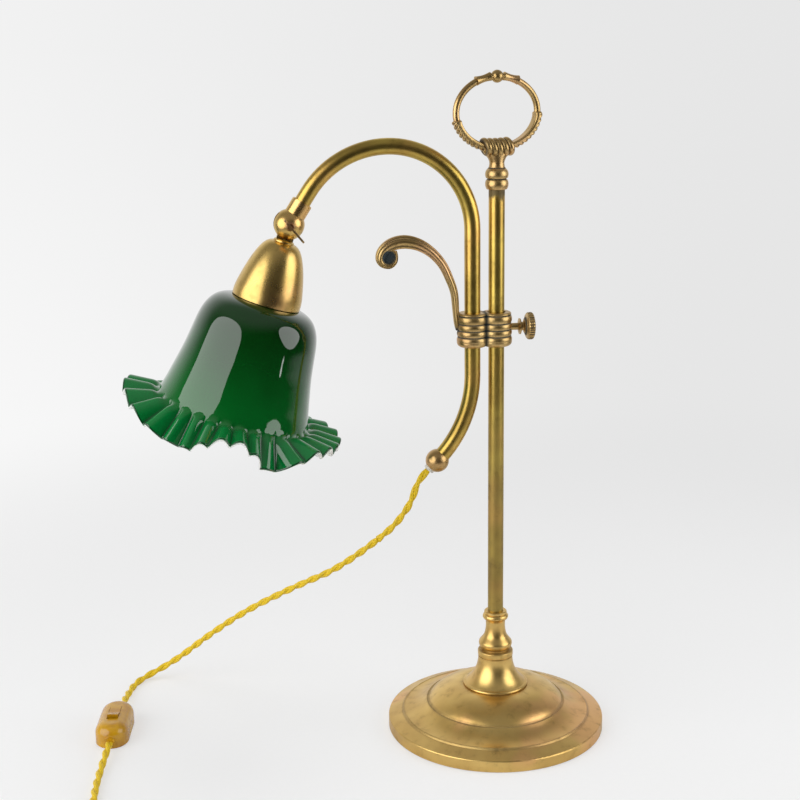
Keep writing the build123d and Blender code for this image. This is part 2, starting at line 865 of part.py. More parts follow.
def bell_skin(inset):
    """The bell of the shade as a full solid, moved in by an inset."""

    def at(r, h):
        return (r - inset, h)

    shoulder = CUP_RIM + GAP
    return turned_down(
        (0, SHADE_SEAT + inset),
        (22.4 - 0.5 * inset, SHADE_SEAT + inset),
        (24.4 - 0.5 * inset, shoulder + inset),
        flow(
            at(28.6, shoulder + 0.3 + 0.9 * inset),
            at(34.8, shoulder + 2.2 + 0.8 * inset),
            at(40.2, shoulder + 6.2 + 0.5 * inset),
            at(44.6, shoulder + 13.0),
            at(BELL_END_R - 9.0, BELL_END - 48.5),
            at(BELL_END_R - 7.0, BELL_END - 35.0),
            at(BELL_END_R - 5.2, BELL_END - 23.0),
            at(BELL_END_R - 2.8, BELL_END - 11.0),
            at(BELL_END_R, BELL_END),
        ),
        (0, BELL_END),
    )


def flare(angle):
    """The frill's lean from the head's axis at an angle round it: most at the sides, and again
    in a short lift at the front and the back."""
    sides = FLARE_SIDES * math.cos(2 * angle) + FLARE_RIGHT * math.cos(angle)
    lift = FLARE_FRONT * math.exp(-((math.cos(angle) / FRONT_SHARE) ** 2))
    return math.radians(FLARE + sides + lift)


def frill_point(share, angle, depth):
    """A point of the frill, a share of the way from inside the bell's wall to the edge and at a
    depth in the glass. The frill bends once, and its pleats rise along its own normal."""
    lean = flare(angle)
    root = Vector(BELL_END_R - 1.5, BELL_END - 5.5)
    bend = Vector(FRILL_BEND_R, FRILL_BEND)
    edge = bend + Vector(math.sin(lean), math.cos(lean)) * FRILL_LENGTH
    place = root * (1 - share) ** 2 + bend * (2 * share * (1 - share)) + edge * share**2
    down = ((bend - root) * (1 - share) + (edge - bend) * share).normalized()
    rise = PLEAT_HEIGHT * share**1.5 * math.cos(PLEATS * angle) - depth
    r = place.X + down.Y * rise
    return Vector(r * math.cos(angle), r * math.sin(angle), -(place.Y - down.X * rise))


def frill_face(depth):
    """The frill's skin at a depth in the glass, with its two round edges, the short one first."""
    steps = 8 * PLEATS
    rows = []
    for row in range(8):
        angles = [2 * math.pi * (step % steps) / steps for step in range(steps + 1)]
        rows.append([frill_point(row / 7, angle, depth) for angle in angles])
    face = Face.make_surface_from_array_of_points(rows, tol=0.02, min_deg=3, max_deg=3)
    rings = [edge for edge in face.edges() if edge.is_closed]
    return face, sorted(rings, key=lambda ring: ring.length)


def frill():
    """The pleated frill, rooted inside the end of the bell's wall."""
    depth = (SHADE_WALL - FRILL_WALL) / 2
    outer, (outer_root, outer_edge) = frill_face(depth)
    inner, (inner_root, inner_edge) = frill_face(depth + FRILL_WALL)
    rim = Face.make_surface_from_curves(outer_edge, inner_edge)
    root = Face.make_surface_from_curves(outer_root, inner_root)
    return Solid(Shell([outer, rim, inner, root]))


def shade():
    """Blown green glass: a bell with a pleated frill round its mouth."""
    mouth = rod(2 * (BELL_END_R - SHADE_WALL), -BELL_END - 1, -BELL_END + 0.5)
    bell = bell_skin(0) - bell_skin(SHADE_WALL) - mouth - rod(HOLDER_D + 2 * GAP, -SHADE_SEAT - 9, 0)
    return on_head(bell + frill())


def bulb_cap():
    """Bayonet cap of the bulb, with its two side pins."""
    top = INSULATOR_END + 2.6 + GAP
    cap = turned_down((0, top), (6.0, top), (CAP_D / 2, top + 2.0), (CAP_D / 2, CAP_END), (0, CAP_END))
    pins = Pos(0, 0, -top - 7) * Rot(90, 0, 0) * Cylinder(1.0, CAP_D + 2.2)
    return on_head(cap + pins - rod(CAP_D - 2 * BULB_WALL, -CAP_END - 1, -top - 4))


def on_circle_down(radius, centre):
    """The point half way round the lower quarter of a bulb's globe."""
    across, down = on_circle(radius, 45)
    return (across, centre + down)


def bulb_skin(inset):
    """The bulb's outline as a full solid, moved in by an inset."""
    r = BULB_D / 2 - inset
    centre = BULB_END - BULB_D / 2
    neck = CAP_D / 2 - 0.4 - inset
    return turned_down(
        (0, CAP_END),
        (neck, CAP_END),
        flow(
            (neck + 0.7, CAP_END + 5),
            (neck + 4, CAP_END + 12),
            (neck + 9.8, CAP_END + 21),
            (r - 2, centre - 11),
            (r, centre),
        ),
        bow(on_circle_down(r, centre), (0, centre + r)),
    )


def bulb_glass():
    """Bulb's glass envelope, closed at the neck by the cap."""
    return on_head(bulb_skin(0) - bulb_skin(BULB_WALL))


# Cord


LAID = CORD_D / 2 + 0.1
EXIT_STEP = (-math.sin(math.radians(LOWER_BEND_ANGLE)), 0, -math.cos(math.radians(LOWER_BEND_ANGLE)))
CORD_EXIT = moved(tuple(ARM_BALL), EXIT_STEP, ARM_BALL_D / 2 + BUSH_PROUD)
OUTER_TURN_R = COIL_R + (COIL_ACROSS - 1) / 2 * CORD_D
COIL_HALF = COIL_ACROSS * CORD_D / 2
COIL_TOP = COIL_LIFT + COIL_LAYERS * CORD_D

DROP_ROUTE = [
    moved(CORD_EXIT, EXIT_STEP, 12.0),
    (-69.0, 2.0, 200.0),
    (-75.5, 7.0, 187.0),
    (-84.5, 13.8, 173.0),
]
RUN_ROUTE = [
    (-122.0, 43.0, 132.0),
    (-160.0, 70.0, 107.0),
    (-202.0, 98.0, 77.0),
    (-238.0, 121.0, 45.0),
    (-262.0, 134.0, 22.0),
    (-279.0, 139.0, 10.0),
    (-294.0, 136.0, 4.0),
    (-304.5, 123.0, LAID),
    (-309.5, 105.0, LAID),
]
TAIL_ROUTE = [
    (-327.5, -36.0, LAID),
    (-330.0, -64.0, LAID),
    (-330.5, -92.0, LAID),
    (-334.5, -118.0, LAID + 0.5),
    (-338.6, -136.0, LAID + COIL_LIFT),
]
LEAD_ROUTE = [(-276.0, -198.0, 10.8), (-263.5, -202.0, 13.4)]


def part_way(start, end, share):
    """The point at a share of the way from start to end."""
    return tuple(a + (b - a) * share for a, b in zip(start, end))


def along_switch(distance, level):
    """A point on the switch's long axis, a distance from its centre."""
    dx, dy = on_circle(distance, SWITCH_HEADING)
    return (SWITCH_CENTRE[0] + dx, SWITCH_CENTRE[1] + dy, level)


def behind_plug(distance):
    """A point on the plug's axis, a distance behind its back."""
    dx, dy = on_circle(distance, PLUG_HEADING)
    return (PLUG_PLACE[0] - dx, PLUG_PLACE[1] - dy, PLUG_D / 2)


JUNCTION = part_way(DROP_ROUTE[-1], RUN_ROUTE[0], 0.27)


def corner_radii(points):
    """Each corner's radius: 0.45 of its shorter run over the tangent of half the turn."""
    radii = []
    for before, here, after in zip(points, points[1:], points[2:]):
        first = Vector(*here) - Vector(*before)
        second = Vector(*after) - Vector(*here)
        half_turn = math.radians(first.get_angle(second)) / 2
        radii.append(0.45 * min(first.length, second.length) / math.tan(half_turn))
    return radii


def laid_cord(name, points):
    """A round cord along straight runs joined by tangent arcs."""
    radii = corner_radii(points)
    path = FilletPolyline(*points, radius=radii)
    solid = sweep(Plane(path ^ 0) * Circle(CORD_D / 2), path=path)
    share = solid.volume / (path.length * math.pi * CORD_D**2 / 4)
    print(name, "length", round(path.length, 1), "volume share", round(share, 5))
    print(name, "radii", [round(r, 1) for r in radii])
    return solid


def cord_drop():
    """The cord where it hangs from the arm."""
    return laid_cord("cord_drop", [CORD_EXIT] + DROP_ROUTE + [JUNCTION])


def cord_run():
    """The cord on down to the surface and along it to the switch."""
    half = SWITCH_LENGTH / 2
    ends = [along_switch(-half - 14, SWITCH_CORD_LEVEL), along_switch(-half, SWITCH_CORD_LEVEL)]
    return laid_cord("cord_run", [JUNCTION] + RUN_ROUTE + ends)


def cord_tail():
    """The cord from the switch to the coil."""
    half = SWITCH_LENGTH / 2
    starts = [along_switch(half, SWITCH_CORD_LEVEL), along_switch(half + 14, SWITCH_CORD_LEVEL)]
    entry = (COIL_CENTRE[0] - OUTER_TURN_R, COIL_CENTRE[1] + 10.0, LAID + COIL_LIFT)
    return laid_cord("cord_tail", starts + TAIL_ROUTE + [entry])


def cord_coil():
    """The put-away length, as the outer shape of its coil."""
    ring = tube(2 * (COIL_R + COIL_HALF), 2 * (COIL_R - COIL_HALF), COIL_LIFT, COIL_TOP)
    return Pos(*COIL_CENTRE, 0) * fillet(ring.edges().filter_by(GeomType.CIRCLE), CORD_D / 2 - 0.6)


def cord_lead():
    """The cord from the coil to the plug."""
    start = (COIL_CENTRE[0] + 11.0, COIL_CENTRE[1] - OUTER_TURN_R, COIL_TOP - CORD_D / 2)
    return laid_cord("cord_lead", [start] + LEAD_ROUTE + [behind_plug(11), behind_plug(0)])


def coil_tie():
    """Strap round the coil at one place."""
    middle = (COIL_LIFT + COIL_TOP) / 2
    wide = 2 * (COIL_HALF + TIE_ROOM)
    high = COIL_TOP - COIL_LIFT + 2 * (COIL_LIFT - TIE_WALL)
    strap = Box(wide + 2 * TIE_WALL, TIE_LENGTH, high + 2 * TIE_WALL) - Box(wide, 2 * TIE_LENGTH, high)
    return Pos(COIL_CENTRE[0] + COIL_R, COIL_CENTRE[1], middle) * strap


# Switch on the cord


def at_switch(shape):
    """A shape drawn about the origin along X, set at the switch's place."""
    return Pos(*SWITCH_CENTRE, 0) * Rot(0, 0, SWITCH_HEADING) * shape


def slot_block(length, width, low, high):
    """An upright block with round ends."""
    return Pos(0, 0, low) * extrude(SlotOverall(length, width), high - low)


def switch_glands():
    """The two round noses that the cord meets."""
    nose = Rot(0, 90, 0) * Cylinder(CORD_D / 2 + 1.6, SWITCH_LENGTH)
    return Pos(0, 0, SWITCH_CORD_LEVEL) * nose


def screw_places(level):
    """Places of the two screws that hold the switch's halves together."""
    return [Pos(side * SWITCH_SCREW_SPACING / 2, 0, level) for side in (-1, 1)]


def switch_lower():
    """Lower half of the switch's case."""
    body = slot_block(SWITCH_BODY, SWITCH_WIDTH, 0, SWITCH_SEAM)
    body = chamfer(body.faces().sort_by(Axis.Z)[0].edges(), 1.2)
    below = Pos(0, 0, SWITCH_SEAM / 2) * Box(2 * SWITCH_LENGTH, SWITCH_WIDTH, SWITCH_SEAM)
    inside = slot_block(
        SWITCH_BODY - 2 * SWITCH_WALL, SWITCH_WIDTH - 2 * SWITCH_WALL, SWITCH_WALL, 2 * SWITCH_SEAM
    )
    body += (switch_glands() & below) - inside
    body -= inside
    for place in screw_places(0):
        body += place * rod(SWITCH_POST_D, SWITCH_WALL / 2, SWITCH_SEAM)
        body -= place * rod(SWITCH_SCREW_D + 2 * SEAT, -1, 2 * SWITCH_SEAM)
        body -= place * rod(SWITCH_HEAD_D + 2 * SEAT, -1, 1.6)
    return at_switch(body)


def switch_upper():
    """Domed upper half of the switch's case, with the rocker's window."""
    block = slot_block(SWITCH_BODY, SWITCH_WIDTH, SWITCH_SEAM, SWITCH_HEIGHT)
    dome = fillet(block.faces().sort_by(Axis.Z)[-1].edges(), SWITCH_HEIGHT - SWITCH_SEAM - 1.5)
    above = Pos(0, 0, 1.5 * SWITCH_SEAM) * Box(2 * SWITCH_LENGTH, SWITCH_WIDTH, SWITCH_SEAM)
    inside = slot_block(
        SWITCH_BODY - 4 * SWITCH_WALL,
        SWITCH_WIDTH - 3.4 * SWITCH_WALL,
        0,
        SWITCH_HEIGHT - 1.5 * SWITCH_WALL,
    )
    body = dome + (switch_glands() & above) - inside
    for place in screw_places(0):
        body += place * rod(SWITCH_POST_D, SWITCH_SEAM, SWITCH_HEIGHT - SWITCH_WALL)
        body -= place * rod(SWITCH_SCREW_D + 2 * SEAT, 0, SWITCH_SEAM + 4)
    window = Box(ROCKER_LENGTH + 2 * ROCKER_ROOM, ROCKER_WIDTH + 2 * GAP, SWITCH_HEIGHT)
    pin_hole = Rot(90, 0, 0) * Cylinder(ROCKER_PIN_D / 2 + RUNNING, ROCKER_PIN_LENGTH + 2 * GAP)
    return at_switch(body - Pos(0, 0, SWITCH_HEIGHT) * window - Pos(0, 0, ROCKER_LEVEL) * pin_hole)


def switch_screws():
    """The two screws, driven from below."""
    screw = rod(SWITCH_SCREW_D, 0.4, SWITCH_SEAM + 3.6) + rod(SWITCH_HEAD_D, 0.4, 1.6)
    slot = Pos(0, 0, 0.4) * Box(2 * SWITCH_HEAD_D, 0.6, 1.0)
    screws = [place * (screw - slot) for place in screw_places(0)]
    return at_switch(screws[0] + screws[1])


def switch_rocker():
    """Rocker of the switch, pressed down at one end."""
    half = ROCKER_LENGTH / 2
    rise = SWITCH_HEIGHT + 0.6 - ROCKER_LEVEL
    side = outline(
        (-half, rise + 1.0), (0, rise - 0.6), (half, rise + 1.0), (half - 2.4, -3.2), (2.4 - half, -3.2)
    )
    body = extrude(Plane.XZ * side, ROCKER_WIDTH / 2, both=True)
    pin = Rot(90, 0, 0) * Cylinder(ROCKER_PIN_D / 2, ROCKER_PIN_LENGTH)
    return at_switch(Pos(0, 0, ROCKER_LEVEL) * Rot(0, -ROCKER_TILT, 0) * (body + pin))


# Plug


def at_plug(shape):
    """A shape drawn about Z, from the cord's end forward, laid down at the plug's place."""
    return Pos(*PLUG_PLACE, PLUG_D / 2) * Rot(0, 0, PLUG_HEADING) * Rot(0, 90, 0) * shape


def plug_body():
    """Round plug body with a waist for the fingers and a nose for the cord."""
    r = PLUG_D / 2
    shape = turned(
        (0, 0),
        (CORD_D / 2 + 1.4, 0),
        (CORD_D / 2 + 2.0, 0.8),
        (CORD_D / 2 + 2.0, 6.0),
        bow((r - 3.2, 12.0), (r - 2.2, 19.0)),
        (r - 0.8, 22.0),
        bow((r, 23.0), (r, 24.2)),
        (r, PLUG_LENGTH),
        (0, PLUG_LENGTH),
    )
    for side in (-1, 1):
        socket = rod(PLUG_PIN_D + 2 * SEAT, PLUG_LENGTH - 8, PLUG_LENGTH + 1)
        shape -= Pos(0, side * PLUG_PIN_SPACING / 2, 0) * socket
    return at_plug(shape)


def plug_pins():
    """The plug's two round pins."""
    pin = rod(PLUG_PIN_D, PLUG_LENGTH - 8, PLUG_LENGTH + PLUG_PIN_LENGTH)
    pin = fillet(pin.faces().sort_by(Axis.Z)[-1].edges(), PLUG_PIN_D / 2 - 0.4)
    pins = [Pos(0, side * PLUG_PIN_SPACING / 2, 0) * pin for side in (-1, 1)]
    return at_plug(pins[0] + pins[1])


MAKERS = [
    base_shell,
    base_weight,
    base_felt,
    base_washer,
    base_nut,
    tie_rod,
    bell_collar,
    stem_collar,
    pole_tube,
    pole_plug,
    handle_ferrule,
    handle_cradle,
    handle_hoop,
    handle_ball,
    clamp_liner,
    clamp_pole_boss,
    clamp_arm_boss,
    thumbscrew,
    scroll,
    crook_arm,
    arm_end_ball,
    cord_bush,
    arm_flex,
    knuckle_socket,
    knuckle_screw,
    knuckle_tongue,
    lamp_cup,
    cup_nut,
    head_flex,
    holder_cap,
    holder_insulator,
    holder_plungers,
    holder_body,
    shade_ring,
    shade,
    bulb_cap,
    bulb_glass,
    cord_drop,
    cord_run,
    switch_lower,
    switch_upper,
    switch_screws,
    switch_rocker,
    cord_tail,
    cord_coil,
    coil_tie,
    cord_lead,
    plug_body,
    plug_pins,
]

if __name__ == "__main__":
    os.makedirs("parts", exist_ok=True)
    for make in MAKERS:
        export_step(make(), "parts/" + make.__name__ + ".step")
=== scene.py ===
import json
import math

import bpy
import numpy as np
from bpy.props import FloatProperty, FloatVectorProperty, IntProperty, PointerProperty
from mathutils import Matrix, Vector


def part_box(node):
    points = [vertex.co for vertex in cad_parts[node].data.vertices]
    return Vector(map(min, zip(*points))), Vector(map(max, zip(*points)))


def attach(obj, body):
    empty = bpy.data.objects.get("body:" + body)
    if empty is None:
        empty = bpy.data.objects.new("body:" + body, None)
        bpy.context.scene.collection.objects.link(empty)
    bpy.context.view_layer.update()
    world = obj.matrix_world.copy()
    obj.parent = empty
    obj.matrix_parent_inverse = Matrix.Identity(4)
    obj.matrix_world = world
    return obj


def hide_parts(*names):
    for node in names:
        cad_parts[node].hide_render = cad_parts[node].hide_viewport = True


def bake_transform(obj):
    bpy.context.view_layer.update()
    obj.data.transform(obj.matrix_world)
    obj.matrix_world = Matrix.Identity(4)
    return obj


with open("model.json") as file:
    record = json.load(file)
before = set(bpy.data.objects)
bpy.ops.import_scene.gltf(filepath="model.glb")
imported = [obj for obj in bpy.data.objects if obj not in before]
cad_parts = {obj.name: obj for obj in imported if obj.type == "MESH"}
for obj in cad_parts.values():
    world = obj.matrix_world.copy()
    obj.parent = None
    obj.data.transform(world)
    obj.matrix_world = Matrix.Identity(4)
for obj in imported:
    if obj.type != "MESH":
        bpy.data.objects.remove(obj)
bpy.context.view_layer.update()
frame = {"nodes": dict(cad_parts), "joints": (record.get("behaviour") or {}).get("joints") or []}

bl_info = {
    "name": "Crook Arm Lamp Dresser",
    "version": (1, 0, 0),
    "blender": (4, 5, 0),
    "location": "View3D > Sidebar > Lamp",
    "description": "Dresses a brass crook arm lamp with its glass, cast work, cord and finishes",
    "category": "Object",
}

MM = 0.001
NODES = frame["nodes"]
JOINTS = {joint["name"]: joint for joint in frame["joints"]}

# Places that the pieces share, in millimetres
KNUCKLE = np.array(JOINTS["tilt"]["pos_m"]) / MM
HEAD_TILT = 18.4
HANDLE_LEVEL = 508.5
HANDLE_HALF = (34.5, 27.0)
HANDLE_YAW = 14.0
BINDING_LEVEL = 481.5
# Level and half width of each groove of the clamp
CLAMP_GROOVES = ((334.6, 1.1), (339.8, 1.0), (345.0, 1.0), (351.3, 1.0))
CLAMP_X = (-19.3, 0.0)

# The cord's route, the same corners as the solids follow
CORD_EXIT = (-55.76, 0.0, 226.07)
DROP_ROUTE = [(-64.25, 0.0, 217.59), (-69.0, 2.0, 200.0), (-75.5, 7.0, 187.0), (-84.5, 13.8, 173.0)]
JUNCTION = (-94.625, 21.684, 161.93)
RUN_ROUTE = [
    (-122.0, 43.0, 132.0),
    (-160.0, 70.0, 107.0),
    (-202.0, 98.0, 77.0),
    (-238.0, 121.0, 45.0),
    (-262.0, 134.0, 22.0),
    (-279.0, 139.0, 10.0),
    (-294.0, 136.0, 4.0),
    (-304.5, 123.0, 3.1),
    (-309.5, 105.0, 3.1),
    (-313.58, 77.72, 6.6),
]
SWITCH_CENTRE = (-318.6, 33.0)
SWITCH_HEADING = 263.6
SWITCH_HALF = 31.0
SWITCH_CORD_LEVEL = 6.6
TAIL_ROUTE = [
    (-327.5, -36.0, 3.1),
    (-330.0, -64.0, 3.1),
    (-330.5, -92.0, 3.1),
    (-334.5, -118.0, 3.6),
    (-338.6, -136.0, 4.1),
]
COIL_CENTRE = (-300.0, -158.0)
# Radius and level of each turn of the coil
COIL_RADII = np.array([39.0, 33.0, 27.0, 27.0, 33.0, 39.0])
COIL_LEVELS = np.array([4.0, 4.0, 4.0, 10.0, 10.0, 10.0])
COIL_TURNS = 5.25
COIL_CORNERS = 20
CORD_D = 6.0
STRAND_R = 0.3 * CORD_D
BRAID_STEP = 5.0
LEAD_ROUTE = [(-276.0, -198.0, 10.8), (-263.5, -202.0, 13.4)]
PLUG_PLACE = (-241.0, -213.0, 15.0)
PLUG_HEADING = -24.0


# Curves and surfaces


def smooth(points, count):
    """Points along a Catmull-Rom curve: a cubic between each pair of given points, whose slope
    at a point is half the step from the point before it to the point after it."""
    p = np.asarray(points, float)
    p = np.vstack([2 * p[0] - p[1], p, 2 * p[-1] - p[-2]])
    t = np.linspace(0, len(p) - 3, count)
    i = np.minimum(t.astype(int), len(p) - 4)
    f = (t - i)[:, None]
    a, b, c, d = p[i], p[i + 1], p[i + 2], p[i + 3]
    return 0.5 * (2 * b + (c - a) * f + (2 * a - 5 * b + 4 * c - d) * f**2 + (3 * b - a - 3 * c + d) * f**3)


def ease(x):
    """The smooth step 3x^2 - 2x^3, held at 0 and 1 outside them."""
    x = np.clip(x, 0, 1)
    return x * x * (3 - 2 * x)


def around(count):
    """Angles spaced evenly round a circle."""
    return np.linspace(0, 2 * math.pi, count, endpoint=False)


def circle(radius, count):
    """Points spaced evenly round a circle."""
    angle = around(count)
    return radius * np.stack([np.cos(angle), np.sin(angle)], 1)


def unit(vectors):
    """Vectors made one long."""
    return vectors / np.linalg.norm(vectors, axis=-1, keepdims=True)


def placed(name, data):
    """A new object in the scene."""
    made = bpy.data.objects.new(name, data)
    bpy.context.scene.collection.objects.link(made)
    return made


def spread(points, step):
    """The same line with points a step apart, by length along it."""
    lengths = np.r_[0, np.cumsum(np.linalg.norm(np.diff(points, axis=0), axis=1))]
    at = np.linspace(0, lengths[-1], max(2, int(round(lengths[-1] / step)) + 1))
    return np.stack([np.interp(at, lengths, points[:, k]) for k in range(3)], 1), at


def grid_mesh(name, grids, wrap_rows=False, weld=0.0):
    """One mesh from grids of points in millimetres. Each grid is (rows, columns, 3), closes round
    its columns and, where asked, round its rows. Its faces join neighbours in both directions. The
    UV map holds the column's share in u and the row's in v."""
    vertices, faces, uvs = [], [], []
    start = 0
    for grid in grids:
        rows, columns = grid.shape[:2]
        index = start + np.arange(rows * columns).reshape(rows, columns)
        u, v = np.meshgrid(np.arange(columns + 1.0) / columns, np.arange(rows + 1.0) / max(rows - 1, 1))
        if wrap_rows:
            index = np.vstack([index, index[:1]])
        index = np.hstack([index, index[:, :1]])
        corners = ((0, 0), (0, 1), (1, 1), (1, 0))
        high, wide = index.shape[0] - 1, index.shape[1] - 1
        faces.append(np.stack([index[a : a + high, b : b + wide] for a, b in corners], -1).reshape(-1, 4))
        uv = np.stack([u, v], -1)
        uvs.append(np.stack([uv[a : a + high, b : b + wide] for a, b in corners], -2).reshape(-1, 2))
        vertices.append(grid.reshape(-1, 3))
        start += rows * columns
    mesh = bpy.data.meshes.new(name)
    mesh.from_pydata((np.vstack(vertices) * MM).tolist(), [], np.vstack(faces).tolist())
    layer = mesh.uv_layers.new(name="UVMap")
    layer.data.foreach_set("uv", np.vstack(uvs).astype(np.float32).ravel())
    mesh.polygons.foreach_set("use_smooth", [True] * len(mesh.polygons))
    mesh.validate()
    piece = placed(name, mesh)
    if weld:
        welded = piece.modifiers.new("weld", "WELD")
        welded.merge_threshold = weld * MM
        apply_modifiers(piece)
    return piece


def apply_modifiers(piece):
    """Keeps a piece's modifiers as its mesh."""
    bpy.context.view_layer.update()
    graph = bpy.context.evaluated_depsgraph_get()
    mesh = bpy.data.meshes.new_from_object(piece.evaluated_get(graph))
    piece.modifiers.clear()
    piece.data = mesh


def square_to(path, side=None, closed=False):
    """Two directions at each point of a path: side is square to the path and level unless it is
    given, and up is square to both."""
    ahead = np.gradient(path, axis=0)
    if closed:
        ahead = np.roll(path, -1, axis=0) - np.roll(path, 1, axis=0)
    ahead = unit(ahead)
    if side is None:
        side = np.cross(ahead, (0, 0, 1.0))
    side = np.broadcast_to(side, ahead.shape)
    side = unit(side - (side * ahead).sum(1)[:, None] * ahead)
    return side, np.cross(side, ahead)


def carried(path, section, side=None, closed=False):
    """Sections carried along a path: each point is path + x * side + y * up, with the directions
    of square_to. section is (columns, 2) or (rows, columns, 2)."""
    side, up = square_to(path, side, closed)
    section = np.broadcast_to(section, (len(path),) + section.shape[-2:])
    return path[:, None] + section[..., :1] * side[:, None] + section[..., 1:] * up[:, None]


def rounded(x, power):
    """A sine or cosine raised to a power with its sign kept: below 1 it squares a circle a little."""
    return np.sign(x) * np.abs(x) ** power


def capped(grid):
    """The grid with each end drawn together to one point, which closes a tube."""
    first = np.broadcast_to(grid[:1].mean(1, keepdims=True), grid[:1].shape)
    last = np.broadcast_to(grid[-1:].mean(1, keepdims=True), grid[-1:].shape)
    return np.vstack([first, grid, last])


def turned_z(points, degrees):
    """Points turned about the pole's axis."""
    c, s = math.cos(math.radians(degrees)), math.sin(math.radians(degrees))
    x, y, z = np.moveaxis(points, -1, 0)
    return np.stack([x * c - y * s, x * s + y * c, z], -1)


def on_head(radius, angle, down):
    """Places on the tilting head: a radius and an angle about its axis, and the distance down the
    axis from the knuckle. The axis leans from the upright by the head's tilt, about Y."""
    c, s = math.cos(math.radians(HEAD_TILT)), math.sin(math.radians(HEAD_TILT))
    x, y, z = radius * np.cos(angle), radius * np.sin(angle), -down
    return np.stack([KNUCKLE[0] + x * c + z * s, KNUCKLE[1] + y, KNUCKLE[2] - x * s + z * c], -1)


# Materials


class Value:
    """One output in a material. Its operators add Math nodes, so an expression reads as a formula."""

    def __init__(self, finish, socket):
        self.finish = finish
        self.socket = socket

    def math(self, operation, *others, clamp=False):
        """A Math node on this value and others."""
        settings = {"operation": operation, "use_clamp": clamp}
        return self.finish.node("ShaderNodeMath", settings, [self, *others])

    def __add__(self, other):
        return self.math("ADD", other)

    __radd__ = __add__

    def __mul__(self, other):
        return self.math("MULTIPLY", other)

    __rmul__ = __mul__

    def __sub__(self, other):
        return self.math("SUBTRACT", other)

    def __rsub__(self, other):
        return self.finish.node("ShaderNodeMath", {"operation": "SUBTRACT"}, [other, self])

    def __truediv__(self, other):
        return self.math("DIVIDE", other)

    def __rtruediv__(self, other):
        return self.finish.node("ShaderNodeMath", {"operation": "DIVIDE"}, [other, self])

    def clamped(self):
        """The value held between 0 and 1."""
        return self.math("ADD", 0.0, clamp=True)

    def eased(self, low, high):
        """0 below low, 1 above high and a smooth step between; low may be the greater."""
        settings = {"interpolation_type": "SMOOTHSTEP"}
        return self.finish.node("ShaderNodeMapRange", settings, {0: self, 1: low, 2: high, 3: 0.0, 4: 1.0})


class Finish:
    """A material or a world under construction, with one method that makes its nodes."""

    def __init__(self, name, kind="materials"):
        self.holder = getattr(bpy.data, kind).new(name)
        self.holder.use_nodes = True
        self.tree = self.holder.node_tree
        self.tree.nodes.clear()
        self.place = self.node("ShaderNodeTexCoord", output="Object")
        self.x, self.y, self.z = self.parts(self.place)

    def node(self, kind, settings=None, inputs=None, output=0):
        """Adds a node, sets its properties first and then its inputs, and returns an output. An
        input is a Value to link, a number, or a colour of three numbers."""
        made = self.tree.nodes.new(kind)
        for key, value in (settings or {}).items():
            setattr(made, key, value)
        pairs = inputs.items() if isinstance(inputs, dict) else enumerate(inputs or [])
        for key, value in pairs:
            socket = made.inputs[key]
            if isinstance(value, Value):
                self.tree.links.new(value.socket, socket)
            else:
                socket.default_value = (*value, 1.0) if socket.type == "RGBA" else value
        return Value(self, made.outputs[output]) if made.outputs else None

    def parts(self, vector):
        """A vector's three numbers."""
        split = self.node("ShaderNodeSeparateXYZ", None, [vector])
        return [Value(self, out) for out in split.socket.node.outputs]

    def noise(self, scale, detail=2.0, roughness=0.5, distortion=0.0):
        """Noise of about one over scale metres, from 0 to 1."""
        inputs = {"Vector": self.place, "Scale": scale, "Detail": detail}
        inputs.update({"Roughness": roughness, "Distortion": distortion})
        return self.node("ShaderNodeTexNoise", None, inputs, "Fac")

    def uv(self):
        """The two numbers of the piece's own UV map."""
        return self.parts(self.node("ShaderNodeUVMap", {"uv_map": "UVMap"}))[:2]

    def spots(self, scale):
        """Distance to the nearest of scattered points, in cells."""
        return self.node("ShaderNodeTexVoronoi", None, {"Vector": self.place, "Scale": scale}, "Distance")

    def mix(self, share, first, second):
        """A colour between two colours. The node has more sockets than it shows, so they are
        given by number."""
        return self.node("ShaderNodeMix", {"data_type": "RGBA"}, {0: share, 6: first, 7: second}, 2)

    def distance(self, x, y):
        """The length of a flat vector, from its two numbers."""
        return (x * x + y * y).math("SQRT")

    def near(self, value, level, width):
        """1 where a value is at a level, falling smoothly to 0 at a width from it."""
        return (value - level).math("ABSOLUTE").eased(width, 0.0)

    def bump(self, height, distance):
        """A normal from a height of 0 to 1 that stands for a distance in metres."""
        inputs = {"Strength": 1.0, "Distance": distance, "Height": height}
        return self.node("ShaderNodeBump", None, inputs, "Normal")

    def surface(self, colour, roughness, metallic, normal, **fixed):
        """Ends the material with the surface shader and returns the material. Other sockets take
        fixed numbers, by their names in small letters."""
        inputs = {"Base Color": colour, "Roughness": roughness, "Metallic": metallic, "Normal": normal}
        for name, value in fixed.items():
            inputs[name.replace("_", " ").title().replace("Ior", "IOR")] = value
        return self.close(self.node("ShaderNodeBsdfPrincipled", None, inputs))

    def close(self, shader, kind="ShaderNodeOutputMaterial"):
        """Ends the material, or the world, with its output and returns it."""
        self.node(kind, None, {"Surface": shader})
        return self.holder


def mark_creases(piece, values):
    """Keeps a number for each vertex, 1 in a crease and 0 elsewhere, for a material to read."""
    mark = piece.data.attributes.new("crease", "FLOAT", "POINT")
    mark.data.foreach_set("value", np.concatenate([np.ravel(v) for v in values]).astype(np.float32))


def creases(f):
    """The number that mark_creases kept."""
    return f.node("ShaderNodeAttribute", {"attribute_name": "crease"}, output="Fac")


def wear(piece, material):
    """Gives a piece, or a node, its one material."""
    piece.data.materials.clear()
    piece.data.materials.append(material)


def dress(names, material):
    """Gives each named node a material."""
    for name in names:
        wear(NODES[name], material)


